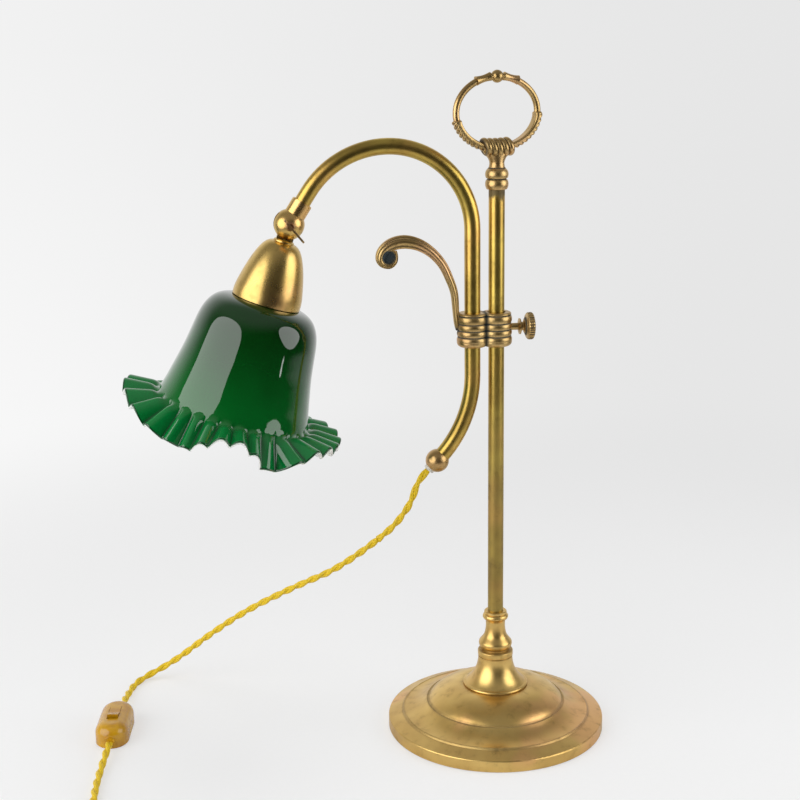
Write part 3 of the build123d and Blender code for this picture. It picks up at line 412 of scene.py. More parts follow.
def add_piece(piece, material, body, replaced=()):
    """Dresses a new piece, puts it on its body and hides the parts it stands for. A piece that bends
    between two bodies is given none."""
    wear(piece, material)
    if body:
        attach(piece, body)
    if replaced:
        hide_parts(*replaced)


# Colours of the brass's flecks, of its soiling, patina and painted shade, and of the parts that have one
# finish of their own
FLECK_TONE = (0.055, 0.035, 0.015)
GRIME_AND_SHADE_TONE = (0.045, 0.042, 0.032)
CLAMP_GRIME_AND_SHADE = (0.045, 0.055, 0.05)
VERDIGRIS = (0.035, 0.050, 0.056)
LEVER_BRASS = (0.40, 0.27, 0.12)
HIDDEN_BRASS = (0.62, 0.46, 0.18)

# Radii of the foot's groove and step, and the levels of the seams on its collars and the ferrule
FOOT_GROOVE_R = 56.7
FOOT_STEP_R = 77.8
COLLAR_SEAMS = ((36.9, 0.8), (61.8, 0.7), (67.0, 0.7))
FERRULE_SEAMS = ((457.9, 0.8), (466.4, 0.7))
# The thumbscrew's knurls: their number, their band's two bounds and the line behind it, both
# measured from the knob's face
KNURLS = 32
KNURL_BAND = (7.5, 5.5)
KNURL_LINE = 8.5
# Levels between which the pole's solder ends, and between which it darkens towards the bottom
SOLDER_END = (441.0, 447.0)
DARKENING_FADE = (330.0, 200.0)
SCROLL_FOOT_X = CLAMP_X[0] - 12.6


def brass(name, colour, brown, roughness=0.26, specks=0.5, dirt_and_shade=None, grime_and_shade_tone=GRIME_AND_SHADE_TONE):
    """Old polished brass: slow drifts from gold to brown, coppery patches, fine brown specks and,
    where a function for it is given, darkening in the grooves and seams, partly soiling and partly painted
    shade."""
    f = Finish(name)
    drift = f.noise(28.0, 3.0)
    cloud = f.noise(110.0, 4.0, 0.6)
    tone = f.mix((drift * 1.6 - 0.35).clamped(), colour, brown)
    copper = (colour[0], colour[1] * 0.76, colour[2])
    tone = f.mix(f.noise(19.0, 2.0).eased(0.5, 0.68) * 0.55, tone, copper)
    tone = f.mix(cloud.eased(0.52, 0.8) * 0.45, tone, [c * 0.5 for c in brown])
    fleck = f.spots(1500.0).eased(0.2, 0.05) * f.noise(210.0).eased(0.5, 0.66) * specks
    tone = f.mix(fleck, tone, FLECK_TONE)
    rough = roughness + cloud * 0.16 + fleck * 0.2
    metal = 1.0 - fleck * 0.6
    # The given mask darkens grooves and seams: partly soiling, partly painted shade.
    if dirt_and_shade:
        grime_and_shade = (dirt_and_shade(f) * (0.75 + 0.5 * cloud)).clamped()
        tone = f.mix(grime_and_shade, tone, grime_and_shade_tone)
        rough = rough + grime_and_shade * 0.3
        metal = metal * (1.0 - grime_and_shade * 0.75)
    height = f.noise(900.0, 2.0) * 0.5 + cloud * 0.5
    return f.surface(tone, rough.clamped(), metal, f.bump(height, 0.000014))


def seams(f, levels):
    """Soiling and painted shade in level seams, each given by its level and half width in millimetres."""
    return sum(f.near(f.z, level * MM, width * MM) for level, width in levels)


def clamp_dirt_and_shade(f):
    """Soiling and painted shade on the clamp: in its grooves, the seam between its bosses and at the foot
    of the scroll.
    """
    grooves = seams(f, CLAMP_GROOVES)
    seam = f.near(f.x, sum(CLAMP_X) / 2 * MM, 0.0030)
    beside = f.near(f.x, SCROLL_FOOT_X * MM, 0.0035)
    scroll_foot = beside * f.near(f.y, 0.0, 0.0062) * f.z.eased(0.334, 0.340)
    return grooves + seam * 0.9 + scroll_foot


def knurl_dirt_and_shade(f):
    """Soiling and painted shade between the knurls on the thumbscrew's rim and in the line behind them."""
    low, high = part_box("thumbscrew")
    middle = [(a + b) / 2 for a, b in zip(low, high)]
    turn = (f.y - middle[1]).math("ARCTAN2", f.z - middle[2])
    rim = f.x.eased(*[high[0] - bound * MM for bound in KNURL_BAND])
    knurls = (turn * KNURLS).math("SINE").eased(0.1, 0.8)
    return knurls * rim * 0.9 + f.near(f.x, high[0] - KNURL_LINE * MM, 0.0012)


def foot_dirt_and_shade(f):
    """Soiling and painted shade on the foot: in its groove, on its step and in the seams of its collars."""
    radius = f.distance(f.x, f.y)
    low = f.z.eased(0.05, 0.045)
    rings = f.near(radius, FOOT_GROOVE_R * MM, 0.0022) + 0.7 * f.near(radius, FOOT_STEP_R * MM, 0.0020)
    return rings * low * 0.45 + seams(f, COLLAR_SEAMS) * 0.4


def pole_solder_and_darkening(f):
    """Grey solder on the pole under the handle's ferrule, and a darkening that grows towards the bottom."""
    level = f.z / MM
    solder = (level + (f.noise(160.0, 3.0) - 0.5) * 16.0).eased(*SOLDER_END)
    # The pole grows darker towards the bottom.
    tarnish = level.eased(*DARKENING_FADE) * (0.15 + 0.35 * f.noise(60.0, 3.0))
    return solder * 0.75 + tarnish


def ferrule_dirt_and_shade(f):
    """Soiling and painted shade between the ferrule's rings and under the ring handle."""
    return seams(f, FERRULE_SEAMS)


def tint(name, description, default):
    """A colour that the user can change."""
    return FloatVectorProperty(
        name=name, description=description, subtype="COLOR", size=3, min=0.0, max=1.0, default=default,
    )


class LampFinishes(bpy.types.PropertyGroup):
    """Colours of the lamp's metals."""

    tube: tint("Tube brass", "Colour of the pole and the arm", (0.74, 0.55, 0.12))
    cast: tint("Cast brass", "Colour of the castings", (0.77, 0.545, 0.235))
    bright: tint("Bright brass", "Colour of the cup and the knuckle", (0.82, 0.585, 0.20))
    foot: tint("Foot brass", "Colour of the foot and its collars", (0.86, 0.605, 0.21))
    brown: tint("Tarnish", "Colour that the brass has drifted to", (0.27, 0.155, 0.04))
    bright_brown: tint("Bright tarnish", "Colour that the cup has drifted to", (0.50, 0.32, 0.09))
    foot_brown: tint("Foot tarnish", "Colour that the foot has drifted to", (0.53, 0.32, 0.095))


def tones(*names):
    """The colours that the finishes have under some names."""
    return [tuple(getattr(bpy.context.scene.lamp_finishes, name)) for name in names]


class LAMP_OT_metals(bpy.types.Operator):
    """Finish the brass and the hidden metal parts"""

    bl_idname = "lamp.metals"
    bl_label = "Finish the metals"

    def execute(self, context):
        tube, cast, bright, foot = tones("tube", "cast", "bright", "foot")
        brown, bright_brown, foot_brown = tones("brown", "bright_brown", "foot_brown")
        foot_parts = ["base_shell", "bell_collar", "stem_collar"]
        bosses = ["clamp_pole_boss", "clamp_arm_boss"]
        castings = ["handle_hoop", "handle_ball", "arm_end_ball"]
        head_parts = ["lamp_cup", "knuckle_socket", "knuckle_tongue"]
        hidden = ["clamp_liner", "pole_plug", "cup_nut", "plug_pins"]
        hidden += ["holder_cap", "holder_body", "holder_plungers"]
        finishes = [
            (["crook_arm"], "tube_brass", tube, brown, 0.24, 0.8),
            (["pole_tube"], "pole_brass", tube, brown, 0.24, 0.8, pole_solder_and_darkening),
            (foot_parts, "foot_brass", foot, foot_brown, 0.25, 0.6, foot_dirt_and_shade),
            (bosses, "clamp_brass", cast, brown, 0.27, 0.3, clamp_dirt_and_shade, CLAMP_GRIME_AND_SHADE),
            (["handle_ferrule"], "ferrule_brass", cast, brown, 0.27, 0.4, ferrule_dirt_and_shade),
            (castings, "cast_brass", cast, brown, 0.26, 0.3),
            (["thumbscrew"], "thumbscrew_brass", cast, brown, 0.3, 0.4, knurl_dirt_and_shade),
            (head_parts, "bright_brass", bright, bright_brown, 0.2, 0.35),
            (["knuckle_screw"], "lever_brass", LEVER_BRASS, brown, 0.35, 0.5),
            (hidden, "hidden_brass", HIDDEN_BRASS, brown, 0.35, 0.4),
        ]
        for names, *finish in finishes:
            dress(names, brass(*finish))
        dress(["base_weight"], self.cast_iron())
        dress(["base_washer", "base_nut", "tie_rod", "switch_screws", "bulb_cap"], self.plated_steel())
        return {"FINISHED"}

    def cast_iron(self):
        """Dark iron with a sandy skin and rust in places."""
        f = Finish("cast_iron")
        sand = f.noise(700.0, 5.0, 0.7)
        tone = f.mix(f.noise(60.0, 4.0).eased(0.5, 0.75), (0.05, 0.048, 0.045), (0.16, 0.075, 0.035))
        return f.surface(tone, 0.75 + sand * 0.2, 0.3, f.bump(sand, 0.0006))

    def plated_steel(self):
        """Grey plated steel with fine brushing."""
        f = Finish("plated_steel")
        grain = f.noise(1200.0, 3.0)
        tone = f.mix(grain, (0.42, 0.42, 0.41), (0.6, 0.59, 0.56))
        return f.surface(tone, 0.3 + grain * 0.2, 1.0, f.bump(grain, 0.00004))


class LAMP_OT_fittings(bpy.types.Operator):
    """Finish the felt, the porcelain, the bulb, the plug and the small moulded parts"""

    bl_idname = "lamp.fittings"
    bl_label = "Finish the fittings"

    def execute(self, context):
        dress(["base_felt"], self.felt())
        porcelain = self.glazed("porcelain", (0.82, 0.80, 0.74), (0.70, 0.66, 0.56), 0.15)
        dress(["holder_insulator", "cord_bush"], porcelain)
        moulding = self.glazed("brown_moulding", (0.030, 0.017, 0.011), (0.055, 0.028, 0.015), 0.28)
        dress(["shade_ring", "plug_body"], moulding)
        dress(["switch_lower", "switch_upper", "switch_rocker"], self.switch_gold())
        dress(["bulb_glass"], self.bulb())
        dress(["arm_flex", "head_flex"], silk("inner_silk", (0.62, 0.42, 0.03)))
        return {"FINISHED"}

    def felt(self):
        """Green felt: matted fibres in two greens."""
        f = Finish("felt")
        fibre = f.noise(1800.0, 6.0, 0.75, distortion=2.0)
        tone = f.mix(fibre, (0.010, 0.045, 0.022), (0.035, 0.11, 0.055))
        return f.surface(tone, 0.95, 0.0, f.bump(fibre, 0.0005))

    def glazed(self, name, colour, shade, roughness):
        """A smooth fired or moulded part with a faint marbling and an orange-peel skin."""
        f = Finish(name)
        marble = f.noise(140.0, 4.0, 0.6, distortion=1.5)
        skin = f.noise(420.0, 1.0)
        return f.surface(f.mix(marble, colour, shade), roughness + marble * 0.1, 0.0, f.bump(skin, 0.00004))

    def switch_gold(self):
        """Gold coloured moulding, ambered where it is handled."""
        f = Finish("switch_gold")
        cloud = f.noise(90.0, 3.0)
        flow = f.noise(260.0, 4.0, 0.6, distortion=1.0)
        tone = f.mix(cloud.eased(0.35, 0.7), (0.62, 0.33, 0.008), (0.48, 0.22, 0.006))
        tone = f.mix(flow.eased(0.55, 0.8) * 0.4, tone, (0.70, 0.44, 0.03))
        return f.surface(tone, 0.2 + flow * 0.1, 0.0, f.bump(flow, 0.00005), coat_weight=0.4)

    def bulb(self):
        """Frosted white glass."""
        f = Finish("bulb_glass")
        frost = f.noise(900.0, 2.0)
        tone = f.mix(frost, (0.86, 0.86, 0.83), (0.95, 0.95, 0.93))
        return f.surface(tone, 0.32 + frost * 0.1, 0.0, f.bump(frost, 0.00002))


# Shade


class LampShade(bpy.types.PropertyGroup):
    """Sizes of the glass shade."""

    pleats: IntProperty(
        name="Pleats", description="Number of pleats round the frill", default=30, min=12, max=48,
    )
    length: FloatProperty(
        name="Frill width", description="Width of the frill from mouth to edge, in millimetres",
        default=28.0, min=15.0, max=45.0,
    )
    lean: FloatProperty(
        name="Frill lean", description="Lean of the frill from the head's axis where it stands out most",
        default=math.radians(85.0), min=0.0, max=math.radians(90.0), subtype="ANGLE",
    )
    pleat: FloatProperty(
        name="Pleat height", description="Height of a pleat from its crease, in millimetres",
        default=7.0, min=0.0, max=9.0,
    )


# Radius and distance down the axis along the bell, from its hole to its mouth
BELL = [
    (14.6, 60.7), (19.0, 60.6), (22.6, 60.7), (24.6, 62.4), (28.6, 62.7),
    (34.8, 64.6), (40.2, 68.5), (44.6, 75.3), (47.4, 84.5), (49.4, 98.0),
    (51.2, 110.0), (53.4, 121.0), (55.6, 131.0), (57.6, 140.0), (60.0, 148.5),
]
MOUTH_LEAN = math.radians(15)
SHADE_ROWS = (44, 36)
# Thickness of the glass in the bell and at its edge, and the distances down between which it changes
GLASS = 3.0
EDGE_GLASS = 3.2
GLASS_CHANGE = (130.0, 150.0)

# Where the frill hangs down: the place round the axis, the width before it and after it, and the
# depth of the hang, in degrees
HANGS = [
    (-123.0, 30.0, 18.0, 65.0),
    (-65.0, 13.0, 13.0, 58.0),
    (62.0, 18.0, 15.0, 45.0),
    (125.0, 20.0, 24.0, 50.0),
]


def flare(sizes, angle):
    """The frill's lean from the head's axis at an angle round it: its full lean, less
    depth * exp(-(distance / width)^2) at each place where it hangs."""
    lean = np.full_like(angle, sizes.lean)
    for place, before, after, depth in HANGS:
        away = np.degrees(np.angle(np.exp(1j * (angle - math.radians(place)))))
        width = np.where(away < 0, before, after)
        lean = lean - math.radians(depth) * np.exp(-((away / width) ** 2))
    return lean


def shade_rows(sizes, angle):
    """The shade's outer surface, rows from its hole to its edge, as radius and distance down.
    The bell is one turned curve. The frill starts at its mouth: its lean eases from the mouth's to
    flare(angle) over the first quarter of its width, and the places are the running sum of the
    steps that the lean gives. It is then moved along its own normal by height(t) * crest(angle).
    crest = sqrt(sin^2 + e) has round tops and sharp creases; its phase gains half a turn with each
    pleat, faster at front and back, and hand makes the pleats uneven."""
    high, wide = SHADE_ROWS
    bell = np.broadcast_to(smooth(BELL, high)[:, None], (high, len(angle), 2))
    t = np.linspace(0, 1, wide + 1)[1:, None]
    lean = MOUTH_LEAN + (flare(sizes, angle) - MOUTH_LEAN) * ease(t / 0.25)
    way = np.stack([np.sin(lean), np.cos(lean)], -1)
    frill = np.array(BELL[-1]) + np.cumsum(way, axis=0) * sizes.length / wide
    normal = np.stack([way[..., 1], -way[..., 0]], -1)
    phase = sizes.pleats / 2 * (angle - 0.10 * np.sin(2 * angle)) - 0.96 + 0.3 * np.sin(3 * angle + 1.0)
    crest = np.sqrt(np.sin(phase) ** 2 + 0.006) - 0.35
    hand = 1 + 0.14 * np.sin(2 * angle + 0.6) + 0.08 * np.sin(9 * angle)
    height = sizes.pleat * (0.7 * np.sin(math.pi / 2 * np.clip(t / 0.4, 0, 1)) + 0.3 * t)
    frill = frill + normal * (height * crest * hand)[..., None]
    fold = np.exp(-((np.sin(phase) / 0.16) ** 2)) * np.clip(t / 0.3, 0, 1)
    return np.vstack([bell, frill]), np.vstack([np.zeros((high, len(angle))), fold])


def shade_grid(sizes):
    """The whole shell as one closed grid: the outer surface down to the edge, a rounded rim, and
    the inner surface back up, moved in along the outer one's normal by the glass. With it comes
    a number for each place, 1 in the frill's creases and 0 elsewhere."""
    angle = around(sizes.pleats * 20)
    outer, fold = shade_rows(sizes, angle)
    down = unit(np.gradient(outer, axis=0))
    normal = np.stack([down[..., 1], -down[..., 0]], -1)
    share = ease((outer[:, :1, 1] - GLASS_CHANGE[0]) / (GLASS_CHANGE[1] - GLASS_CHANGE[0]))[..., None]
    wall = GLASS * (1 - share) + EDGE_GLASS * share
    inner = outer - normal * wall
    turn = np.linspace(0, math.pi, 7)[1:-1, None, None]
    middle = (outer[-1] + inner[-1]) / 2
    half = (outer[-1] - inner[-1]) / 2
    rim = middle + half * np.cos(turn) + down[-1] * np.linalg.norm(half, axis=-1)[:, None] * np.sin(turn)
    rows = np.vstack([outer, rim, inner[::-1]])
    crease = np.vstack([fold, np.zeros((len(rim) + len(inner), len(angle)))])[:, ::-1]
    return on_head(rows[..., 0], np.broadcast_to(angle, rows.shape[:2]), rows[..., 1])[:, ::-1], crease


class LAMP_OT_shade(bpy.types.Operator):
    """Blow the glass shade: a bell with a crimped frill, green outside and white within"""

    bl_idname = "lamp.shade"
    bl_label = "Make the shade"

    def execute(self, context):
        sizes = context.scene.lamp_shade
        grid, crease = shade_grid(sizes)
        piece = grid_mesh("glass_shade", [grid], wrap_rows=True)
        mark_creases(piece, [crease])
        add_piece(piece, self.cased_glass(), "head", ["shade"])
        return {"FINISHED"}

    def cased_glass(self):
        """Green glass cased over white: the UV map's second number is 0 at the hole, 0.49 at the
        edge, where the green ends in a dark line, and 1 back at the hole. The green is deep on the
        upper bell and lighter towards the mouth, brightest in the frill: painted light shining
        through the glass. The frill's creases are darkened as painted shade."""
        f = Finish("cased_glass")
        v = f.uv()[1]
        swirl = f.noise(22.0, 3.0, 0.5, distortion=0.6)
        # Lighter green towards the mouth and in the frill: painted light shining through the glass.
        low = (v + (swirl - 0.5) * 0.06).eased(0.12, 0.27)
        green = f.mix(low, (0.0, 0.030, 0.001), (0.0, 0.125, 0.014))
        green = f.mix(v.eased(0.25, 0.36), green, (0.0, 0.19, 0.036))
        # The frill's creases are darkened as painted shade; the edge takes its dark line.
        dark = (creases(f) * 0.85).math("MAXIMUM", f.near(v, 0.489, 0.008) * 0.9)
        green = f.mix(dark, green, (0.0, 0.008, 0.003))
        white = f.mix(swirl, (0.86, 0.87, 0.84), (0.93, 0.93, 0.91))
        tone = f.mix(v.eased(0.496, 0.499), green, white)
        ripple = f.noise(45.0, 2.0)
        coat = {"coat_weight": 0.6, "coat_roughness": 0.02, "coat_ior": 1.5}
        return f.surface(tone, 0.03 + swirl * 0.02, 0.0, f.bump(ripple, 0.0002), ior=1.5, **coat)


# Scroll


# X, height and half width along the scroll, from the clamp to the inside of its curl
SCROLL_LINE = [
    (-31.5, 340.0, 1.2), (-32.1, 346.0, 2.1), (-32.7, 356.0, 2.6), (-34.0, 370.0, 3.0), (-37.9, 381.5, 3.3),
    (-43.4, 392.8, 3.6), (-51.8, 402.3, 4.1), (-61.7, 408.6, 4.8), (-72.6, 411.2, 5.3), (-82.8, 409.6, 5.0),
    (-90.0, 404.6, 4.2), (-92.2, 398.6, 3.5), (-90.0, 394.2, 2.6), (-84.6, 392.6, 1.9), (-80.4, 395.6, 1.5),
    (-79.3, 400.0, 1.2), (-80.0, 404.4, 1.1),
]
VOLUTE_EYE = (-85.4, 399.6)
VOLUTE_EYE_R = 7.0
# The scroll's half thickness at some of its rows
SCROLL_THICK = ([0, 12, 100, 149], [2.2, 3.3, 3.55, 3.2])
# Places round the scroll's section of the grooves beside its ribs
RIB_GROOVES = (0.18, 0.32, 0.68, 0.82)


class LAMP_OT_scroll(bpy.types.Operator):
    """Cast the scroll: a ridged bar that widens and curls into a volute"""

    bl_idname = "lamp.scroll"
    bl_label = "Make the scroll"

    def execute(self, context):
        piece = grid_mesh("cast_scroll", [capped(self.bar()), self.web()], weld=0.01)
        add_piece(piece, self.scroll_brass(), "carriage", ["scroll"])
        return {"FINISHED"}

    def bar(self):
        """The bar's section carried along its line: at the angle a it lies at
        width * cos(a) in the scroll's plane and thick * sin(a) across it, squared a little, with
        a shallow groove each side of a raised middle rib on both faces."""
        line = smooth(SCROLL_LINE, 150)
        path = np.stack([line[:, 0], np.zeros(len(line)), line[:, 1]], 1)
        a = around(48)
        x, y = rounded(np.cos(a), 0.75), rounded(np.sin(a), 0.6)
        thick = np.interp(np.arange(len(line)), *SCROLL_THICK)[:, None]
        rib = 1 - 0.22 * np.exp(-(((np.abs(x) - 0.45) / 0.16) ** 2))
        section = np.stack([x * line[:, 2:], y * thick * rib], -1)
        return carried(path, section, side=self.inward(path))

    def web(self):
        """The thin floor of the volute's eye: a disc whose two faces are dished a little."""
        radius = np.r_[0.0, np.linspace(0.5, 1, 6), np.linspace(1, 0.5, 6), 0.0][:, None] * VOLUTE_EYE_R
        half = 0.7 + 0.7 * (radius / VOLUTE_EYE_R) ** 2
        side = np.r_[-np.ones(7), np.ones(7)][:, None]
        a = around(36)
        x, z = VOLUTE_EYE[0] + radius * np.cos(a), VOLUTE_EYE[1] + radius * np.sin(a)
        return np.stack([x, np.broadcast_to(side * half, x.shape), z], -1)

    def inward(self, path):
        """The direction in the scroll's plane that is square to the line."""
        ahead = np.gradient(path, axis=0)
        return np.cross(ahead, (0, 1.0, 0))

    def scroll_brass(self):
        """Cast brass darkened towards verdigris: soiling and painted shade along the rib's grooves and at
        the scroll's foot, and patina in the volute's eye.
        """
        cast, brown = tones("cast", "brown")

        # Rib grooves and the scroll's foot: soiling and painted shade; the volute's eye: patina.
        def dirt_and_shade(f):
            u = f.uv()[0]
            eye = f.distance(f.x - VOLUTE_EYE[0] * MM, f.z - VOLUTE_EYE[1] * MM)
            lines = sum(f.near(u, place, 0.022) for place in RIB_GROOVES)
            return lines * 0.3 + eye.eased(0.0062, 0.0046) + f.near(f.z, 0.3405, 0.004) * 0.8

        return brass("scroll_brass", cast, brown, 0.28, 0.1, dirt_and_shade, VERDIGRIS)


# Ring handle


TROUGH_THICK = 3.2
TROUGH_HOLLOW = 0.9
TROUGH_HALF_WIDTH = 4.7
ROPE_CUTS = 25.0
ROPE_SLANT = 1.9
ROPE_HEIGHT = 1.15
# Level and two half widths up the saddle under the binding
SADDLE = [
    (466.4, 6.5, 6.5), (468.4, 6.0, 6.0), (470.9, 5.9, 5.9),
    (474.0, 7.4, 6.0), (477.0, 10.2, 6.1), (480.4, 12.4, 5.6),
]
# The binding's five turns: their places along the ring, their lean, half widths and half thickness
BINDING_PLACES = np.arange(-2, 3) * 4.7
BINDING_LEAN = 1.5
BINDING_HALF = (6.0, 5.4)
BINDING_CORD_R = 2.45


class LAMP_OT_handle(bpy.types.Operator):
    """Cast the ring handle's lower half: a trough with a roped back, and its binding"""

    bl_idname = "lamp.handle"
    bl_label = "Make the ring handle"

    def execute(self, context):
        grids, folds = zip(self.trough(), self.stem(), *[self.binding(place) for place in BINDING_PLACES])
        piece = grid_mesh("roped_cradle", [turned_z(grid, HANDLE_YAW) for grid in grids])
        mark_creases(piece, folds)
        add_piece(piece, self.handle_brass(), "stand", ["handle_cradle"])
        return {"FINISHED"}

    def trough(self):
        """The lower half ring: a section carried round the oval from 190 to 360 degrees. Its inner
        side is hollowed and its outer side is moved out by |sin| of a slanting phase, like rope. The
        creases are where that |sin| is near 0."""
        s = np.linspace(0, 1, 240)
        angle = np.radians(190 + 170 * s)
        x, z = HANDLE_HALF[0] * np.cos(angle), HANDLE_LEVEL + HANDLE_HALF[1] * np.sin(angle)
        path = np.stack([x, 0 * angle, z], 1)
        a = around(56)
        cos, sin = np.cos(a), np.sin(a)
        thick = TROUGH_THICK - np.where(cos > 0, 0.0, TROUGH_HOLLOW * cos**2)
        flare = 1 + 0.28 * np.exp(-((s / 0.03) ** 2)) + 0.28 * np.exp(-(((1 - s) / 0.03) ** 2))
        rope = np.abs(np.sin(angle[:, None] * ROPE_CUTS + a[None] * ROPE_SLANT))
        outer = np.clip(cos * 1.6 + 0.3, 0, 1)
        away = rounded(cos, 0.8) * thick + ROPE_HEIGHT * outer * (rope - 0.75)
        across = rounded(sin, 0.7) * TROUGH_HALF_WIDTH
        ends = np.sqrt(np.clip(1 - np.abs(2 * s - 1) ** 60, 0.06, 1))[:, None]
        section = np.stack([away * flare[:, None] * ends, np.broadcast_to(across, away.shape) * ends], -1)
        outward = np.stack([np.cos(angle) / HANDLE_HALF[0], 0 * angle, np.sin(angle) / HANDLE_HALF[1]], 1)
        fold = np.exp(-((rope / 0.38) ** 2)) * outer
        return capped(carried(path, section, side=outward)), np.pad(fold, ((1, 1), (0, 0)))

    def stem(self):
        """The saddle under the binding: ovals whose two half widths change with the level."""
        rows = smooth(SADDLE, 26)
        a = around(56)
        x, y = rows[:, 1:2] * np.cos(a), rows[:, 2:3] * np.sin(a)
        grid = capped(np.stack([x, y, np.broadcast_to(rows[:, :1], x.shape)], -1)[::-1])
        return grid, np.zeros(grid.shape[:2])

    def binding(self, place):
        """One turn of the binding: a ring of round cord about the trough, leaning across it, with
        a mark where it meets its neighbours that the material darkens as painted shade and soiling."""
        turn = around(60)
        x = place - BINDING_LEAN * np.sin(turn)
        y = BINDING_HALF[0] * np.cos(turn)
        z = BINDING_LEVEL + 0.011 * place**2 + (BINDING_HALF[1] - 0.006 * place**2) * np.sin(turn)
        path = np.stack([x, y, z], 1)
        section = circle(BINDING_CORD_R, 18)
        ring = carried(path, section, side=np.array([1.0, 0, 0]), closed=True)
        fold = np.clip(np.abs(section[:, 0]) / BINDING_CORD_R * 2.5 - 1.5, 0, 1)
        fold = np.broadcast_to(fold, (len(turn) + 1, len(section)))
        return np.vstack([ring, ring[:1]]), fold

    def handle_brass(self):
        """Cast brass darkened where the rope's lays and the binding's turns meet and at the saddle's foot:
        painted shade and soiling.
        """
        cast, brown = tones("cast", "brown")

        def dirt_and_shade(f):
            return creases(f) * 0.85 + f.near(f.z, SADDLE[0][0] * MM, 0.0008)

        return brass("handle_brass", cast, brown, 0.26, 0.4, dirt_and_shade)


# Cord


class LampCord(bpy.types.PropertyGroup):
    """Make of the twisted cord."""

    lay: FloatProperty(
        name="Twist length", description="Length of one full twist of the pair, in millimetres",
        default=29.0, min=10.0, max=60.0,
    )
    colour: tint("Silk", "Colour of the cord's braid", (0.92, 0.63, 0.005))


def silk(name, colour):
    """Braided silk: two crossing sets of slanting yarns, by the UV map, in a tone, darker in the
    gaps between the yarns as painted shade.
    """
    f = Finish(name)
    u, v = f.uv()
    left = ((u * 6.0 + v) * math.tau).math("SINE") * 0.5 + 0.5
    right = ((u * 6.0 - v) * math.tau).math("SINE") * 0.5 + 0.5
    yarn = left.math("MAXIMUM", right)
    wander = f.noise(70.0, 3.0)
    # The gaps between the yarns are darker: painted shade.
    tone = f.mix(yarn, [c * 0.72 for c in colour], colour)
    tone = f.mix(wander.eased(0.45, 0.75) * 0.35, tone, [c * 0.75 for c in colour])
    sheen = {"sheen_weight": 0.05, "sheen_roughness": 0.4}
    return f.surface(tone, 0.55 - yarn * 0.12, 0.0, f.bump(yarn, 0.00022), **sheen)


def spline_points(name, route):
    """Points read from the smooth line that a route's corners pull towards themselves."""
    curve = bpy.data.curves.new(name, "CURVE")
    curve.dimensions = "3D"
    curve.resolution_u = 24
    line = curve.splines.new("NURBS")
    line.points.add(len(route) - 1)
    line.points.foreach_set("co", np.hstack([np.array(route) * MM, np.ones((len(route), 1))]).ravel())
    line.order_u = 3
    line.use_endpoint_u = True
    holder = placed(name, curve)
    bpy.context.view_layer.update()
    mesh = bpy.data.meshes.new_from_object(holder)
    points = np.empty(len(mesh.vertices) * 3)
    mesh.vertices.foreach_get("co", points)
    bpy.data.objects.remove(holder)
    bpy.data.curves.remove(curve)
    bpy.data.meshes.remove(mesh)
    return points.reshape(-1, 3) / MM


def twisted_pair(name, route, lay):
    """Two strands wound about a smooth line and pressed together: each strand's middle lies a fifth
    of the cord's diameter from the line, at the angle 2 pi * length / lay, half a turn from the
    other."""
    path, along = spread(spline_points(name + "_line", route), 1.1)
    side, up = square_to(path)
    offset = CORD_D / 2 - STRAND_R
    grids = []
    for half_turn in (0, math.pi):
        phase = (2 * math.pi * along / lay + half_turn)[:, None]
        middle = path + offset * (np.cos(phase) * side + np.sin(phase) * up)
        grids.append(capped(carried(middle, circle(STRAND_R, 12), side=side)))
    piece = grid_mesh(name, grids)
    stretch_uv(piece, along[-1] / BRAID_STEP)
    return piece, path


def stretch_uv(piece, repeats):
    """Runs each strand's v from 0 to a number of repeats, so the braid keeps its scale."""
    layer = piece.data.uv_layers["UVMap"].data
    uv = np.empty(len(layer) * 2, np.float32)
    layer.foreach_get("uv", uv)
    uv = uv.reshape(-1, 2)
    uv[:, 1] *= repeats
    layer.foreach_set("uv", uv.ravel())


def along_switch(distance, level=SWITCH_CORD_LEVEL):
    """A point on the switch's long axis, a distance from its centre."""
    a = math.radians(SWITCH_HEADING)
    return (SWITCH_CENTRE[0] + distance * math.cos(a), SWITCH_CENTRE[1] + distance * math.sin(a), level)


def behind_plug(distance):
    """A point on the plug's axis, a distance behind its back."""
    a = math.radians(PLUG_HEADING)
    return (PLUG_PLACE[0] - distance * math.cos(a), PLUG_PLACE[1] - distance * math.sin(a), PLUG_PLACE[2])


def coil_points():
    """Corners of the coil: five and a quarter turns, counter-clockwise from its left. Each turn
    keeps one radius and steps to the next over a short stretch before it comes round, inwards on
    the lower layer and outwards on the upper. Where it climbs it bulges inwards by a half sine.
    The corners lie a little outside the turns, because the smooth line cuts them."""
    turn = np.arange(0.0, COIL_TURNS + 1e-6, 1 / COIL_CORNERS)
    last = len(COIL_RADII) - 1
    number = np.minimum(turn.astype(int), last)
    after = np.minimum(number + 1, last)
    step = ease((turn - number - 0.72) / 0.2)
    reach = COIL_RADII[number] + (COIL_RADII[after] - COIL_RADII[number]) * step
    level = COIL_LEVELS[number] + (COIL_LEVELS[after] - COIL_LEVELS[number]) * step
    climb = np.where(COIL_LEVELS[after] > COIL_LEVELS[number], 1.0, 0.0)
    reach = (reach - 2.2 * climb * np.sin(math.pi * step)) / math.cos(math.pi / 2 / COIL_CORNERS) ** 0.7
    angle = math.pi + 2 * math.pi * turn
    x, y = COIL_CENTRE[0] + reach * np.cos(angle), COIL_CENTRE[1] + reach * np.sin(angle)
    return [tuple(p) for p in np.stack([x, y, level], 1)]


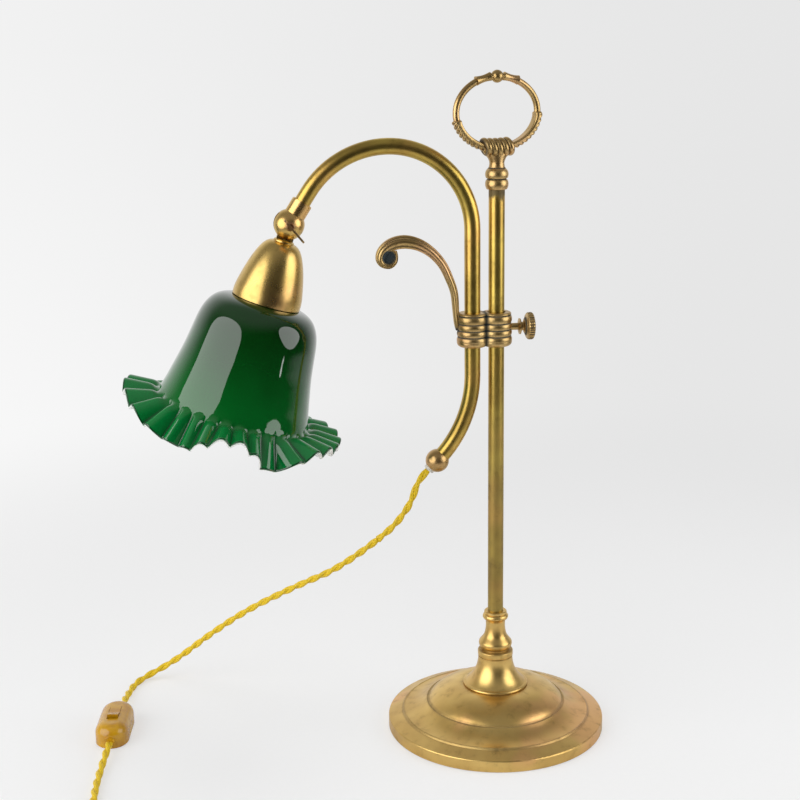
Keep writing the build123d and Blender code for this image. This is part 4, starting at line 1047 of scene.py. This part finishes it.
class LAMP_OT_cord(bpy.types.Operator):
    """Twist and lay the silk cord, from the arm to the switch and on to its coil and plug"""

    bl_idname = "lamp.cord"
    bl_label = "Make the cord"

    def execute(self, context):
        make = context.scene.lamp_cord
        braid = silk("gold_silk", tuple(make.colour))
        self.hang(make, braid)
        self.run(make, braid)
        self.tail(make, braid)
        return {"FINISHED"}

    def hang(self, make, braid):
        """The free loop under the arm, from where the cord leaves the arm down to the junction."""
        route = [CORD_EXIT] + DROP_ROUTE + [JUNCTION]
        piece, path = twisted_pair("cord_hanging", route, make.lay)
        add_piece(piece, braid, None, ["cord_drop"])
        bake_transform(piece)

    def run(self, make, braid):
        """The cord on down to the surface and along it to the switch."""
        route = [JUNCTION] + RUN_ROUTE + [along_switch(-SWITCH_HALF)]
        piece, path = twisted_pair("cord_to_switch", route, make.lay)
        add_piece(piece, braid, None, ["cord_run"])
        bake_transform(piece)

    def tail(self, make, braid):
        """The cord from the switch into its coil, and out of it to the plug."""
        start = [along_switch(SWITCH_HALF), along_switch(SWITCH_HALF + 14)]
        route = start + TAIL_ROUTE + coil_points() + LEAD_ROUTE + [behind_plug(11), behind_plug(0)]
        piece, path = twisted_pair("cord_to_plug", route, make.lay)
        add_piece(piece, braid, "stand", ["cord_tail", "cord_coil", "cord_lead"])


class LAMP_OT_strap(bpy.types.Operator):
    """Finish the strap round the coil"""

    bl_idname = "lamp.strap"
    bl_label = "Finish the strap"

    def execute(self, context):
        f = Finish("strap_leather")
        grain = f.spots(900.0)
        tone = f.mix(f.noise(120.0, 3.0), (0.10, 0.045, 0.018), (0.19, 0.09, 0.038))
        dress(["coil_tie"], f.surface(tone, 0.55 + grain * 0.2, 0.0, f.bump(grain, 0.00018)))
        return {"FINISHED"}


# Stage


class LampStage(bpy.types.PropertyGroup):
    """Camera and light of the studio."""

    lens: FloatProperty(
        name="Lens", description="Focal length in millimetres on a 36 mm sensor",
        default=66.15, min=20.0, max=200.0,
    )
    softbox: FloatProperty(
        name="Softbox", description="Power of the largest lamp", subtype="POWER",
        default=20.0, min=0.0, max=500.0,
    )
    backdrop: FloatProperty(
        name="Backdrop", description="Brightness of the backdrop, where 1 is white", subtype="FACTOR",
        default=0.86, min=0.0, max=1.0,
    )


CAMERA_PLACE = (-0.23868, -1.12291, 0.5674)
CAMERA_ANGLES = (76.0288, 0.7278, -8.3261)
# Each lamp's name, place, aim, size and share of the softbox's power
LAMPS = [
    ("left_softbox", (-1.35, -0.62, 0.66), (-0.2, 0.0, 0.33), (1.9, 1.7), 1.0),
    ("right_dish", (1.05, -0.50, 0.62), (-0.1, 0.0, 0.3), (1.1, 1.1), 0.35),
    ("low_fill", (0.81, -0.73, 0.04), (-0.1, 0.0, 0.3), (0.08, 0.08), 0.004),
    ("top_softbox", (0.0, 0.2, 1.7), (-0.05, 0.0, 0.2), (1.2, 1.2), 0.35),
]
# Lamps that glass and metal don't mirror
UNMIRRORED = ("top_softbox",)
# Radii of the floor's rings, and the radii between which its paper turns into the backdrop
FLOOR_RINGS = np.array([0.0, 0.2, 0.5, 1.0, 2.0, 5.0, 60.0])
FLOOR_FADE = (0.4, 1.2)


class LAMP_OT_stage(bpy.types.Operator):
    """Set the floor, the lights and the camera"""

    bl_idname = "lamp.stage"
    bl_label = "Set the stage"

    def execute(self, context):
        stage = context.scene.lamp_stage
        grey = (stage.backdrop,) * 3
        self.floor(grey)
        self.world(grey)
        for name, place, aim, size, share in LAMPS:
            self.lamp(name, place, aim, size, stage.softbox * share)
        self.camera(stage.lens)
        context.scene.view_settings.view_transform = "Standard"
        return {"FINISHED"}

    def lamp(self, name, place, aim, size, power):
        """A round or oval softbox that faces a point."""
        light = bpy.data.lights.new(name, "AREA")
        light.shape = "ELLIPSE"
        light.size, light.size_y = size
        light.energy = power
        holder = placed(name, light)
        holder.location = place
        way = np.array(aim) - np.array(place)
        level = math.hypot(way[0], way[1])
        holder.rotation_euler = (math.atan2(level, -way[2]), 0.0, math.atan2(-way[0], way[1]))
        holder.visible_glossy = name not in UNMIRRORED

    def floor(self, grey):
        """A round pale floor: paper under the lamp that turns into the plain backdrop further out.
        There only the camera sees it."""
        angle = around(96)
        x, y = FLOOR_RINGS[:, None] * np.cos(angle), FLOOR_RINGS[:, None] * np.sin(angle)
        rows = np.stack([x, y, np.zeros_like(x)], -1)
        piece = grid_mesh("studio_floor", [rows[::-1] / MM], weld=0.01)
        f = Finish("floor_paper")
        grain = f.noise(260.0, 3.0)
        tone = f.mix(grain, (0.86, 0.86, 0.86), (0.90, 0.90, 0.90))
        paper = f.node("ShaderNodeBsdfDiffuse", None, {"Color": tone, "Normal": f.bump(grain, 0.00005)})
        across = f.x / (f.x * f.x + f.y * f.y + 0.5).math("SQRT")
        backdrop = f.node("ShaderNodeEmission", None, [self.backdrop(f, across, grey), 1.0])
        seen = f.node("ShaderNodeLightPath", output="Is Camera Ray")
        plain = f.node("ShaderNodeMixShader", None, [seen, f.node("ShaderNodeBsdfTransparent"), backdrop])
        lit = f.node("ShaderNodeMixShader", None, [seen * 0.5, paper, f.node("ShaderNodeEmission")])
        far = f.distance(f.x, f.y).eased(*FLOOR_FADE)
        wear(piece, f.close(f.node("ShaderNodeMixShader", None, [far, lit, plain])))

    def backdrop(self, f, across, grey):
        """The backdrop's grey, painted a little paler to the left as light falling from that side."""
        return f.mix(across.eased(-0.5, 0.45), [min(1.0, g * 1.09) for g in grey], [g * 0.92 for g in grey])

    def world(self, grey):
        """A studio that is dark behind the camera. The camera sees the plain backdrop all round, and
        glass and metal mirror it where it stands behind the lamp."""
        f = Finish("studio", "worlds")
        across, behind, up = f.parts(f.node("ShaderNodeTexCoord", output="Generated"))
        level = f.mix(behind.eased(0.0, 0.8), (0.03, 0.03, 0.03), (0.62, 0.63, 0.64))
        level = f.mix(up.eased(0.3, 0.9), level, (0.30, 0.30, 0.30))
        rays = ("Is Camera Ray", "Is Glossy Ray", "Is Transmission Ray")
        camera, glossy, through = [f.node("ShaderNodeLightPath", output=ray) for ray in rays]
        seen = camera + (glossy + through) * behind.eased(0.25, 1.0)
        level = f.mix(seen, level, self.backdrop(f, across, grey))
        shade = f.node("ShaderNodeBackground", None, [level, 1.0])
        bpy.context.scene.world = f.close(shade, "ShaderNodeOutputWorld")

    def camera(self, lens):
        """The camera at the photograph's angle."""
        data = bpy.data.cameras.new("camera")
        data.lens = lens
        data.sensor_width = 36.0
        data.clip_end = 200.0
        holder = placed("camera", data)
        holder.location = CAMERA_PLACE
        holder.rotation_euler = tuple(math.radians(a) for a in CAMERA_ANGLES)
        bpy.context.scene.camera = holder


class LAMP_PT_panel(bpy.types.Panel):
    """Sidebar panel with every piece and its sizes"""

    bl_idname = "LAMP_PT_panel"
    bl_label = "Crook Arm Lamp"
    bl_space_type = "VIEW_3D"
    bl_region_type = "UI"
    bl_category = "Lamp"

    def draw(self, context):
        scene = context.scene
        for group in (scene.lamp_finishes, scene.lamp_shade, scene.lamp_cord, scene.lamp_stage):
            box = self.layout.box()
            for name in group.bl_rna.properties.keys():
                if name not in ("rna_type", "name"):
                    box.prop(group, name)
        for operator in OPERATORS:
            self.layout.operator(operator.bl_idname)


GROUPS = {
    "lamp_finishes": LampFinishes,
    "lamp_shade": LampShade,
    "lamp_cord": LampCord,
    "lamp_stage": LampStage,
}
OPERATORS = (
    LAMP_OT_stage,
    LAMP_OT_cord,
    LAMP_OT_metals,
    LAMP_OT_fittings,
    LAMP_OT_strap,
    LAMP_OT_shade,
    LAMP_OT_scroll,
    LAMP_OT_handle,
)


def register():
    """Registers the classes and hangs the settings on the scene."""
    for group in (*GROUPS.values(), *OPERATORS, LAMP_PT_panel):
        bpy.utils.register_class(group)
    for name, group in GROUPS.items():
        setattr(bpy.types.Scene, name, PointerProperty(type=group))


def unregister():
    """Takes the settings and the classes away again."""
    for name in GROUPS:
        delattr(bpy.types.Scene, name)
    for group in (LAMP_PT_panel, *reversed(OPERATORS), *reversed(list(GROUPS.values()))):
        bpy.utils.unregister_class(group)


def main():
    """Makes every piece in turn."""
    register()
    for operator in OPERATORS:
        group, name = operator.bl_idname.split(".")
        getattr(getattr(bpy.ops, group), name)()


if __name__ == "__main__":
    main()
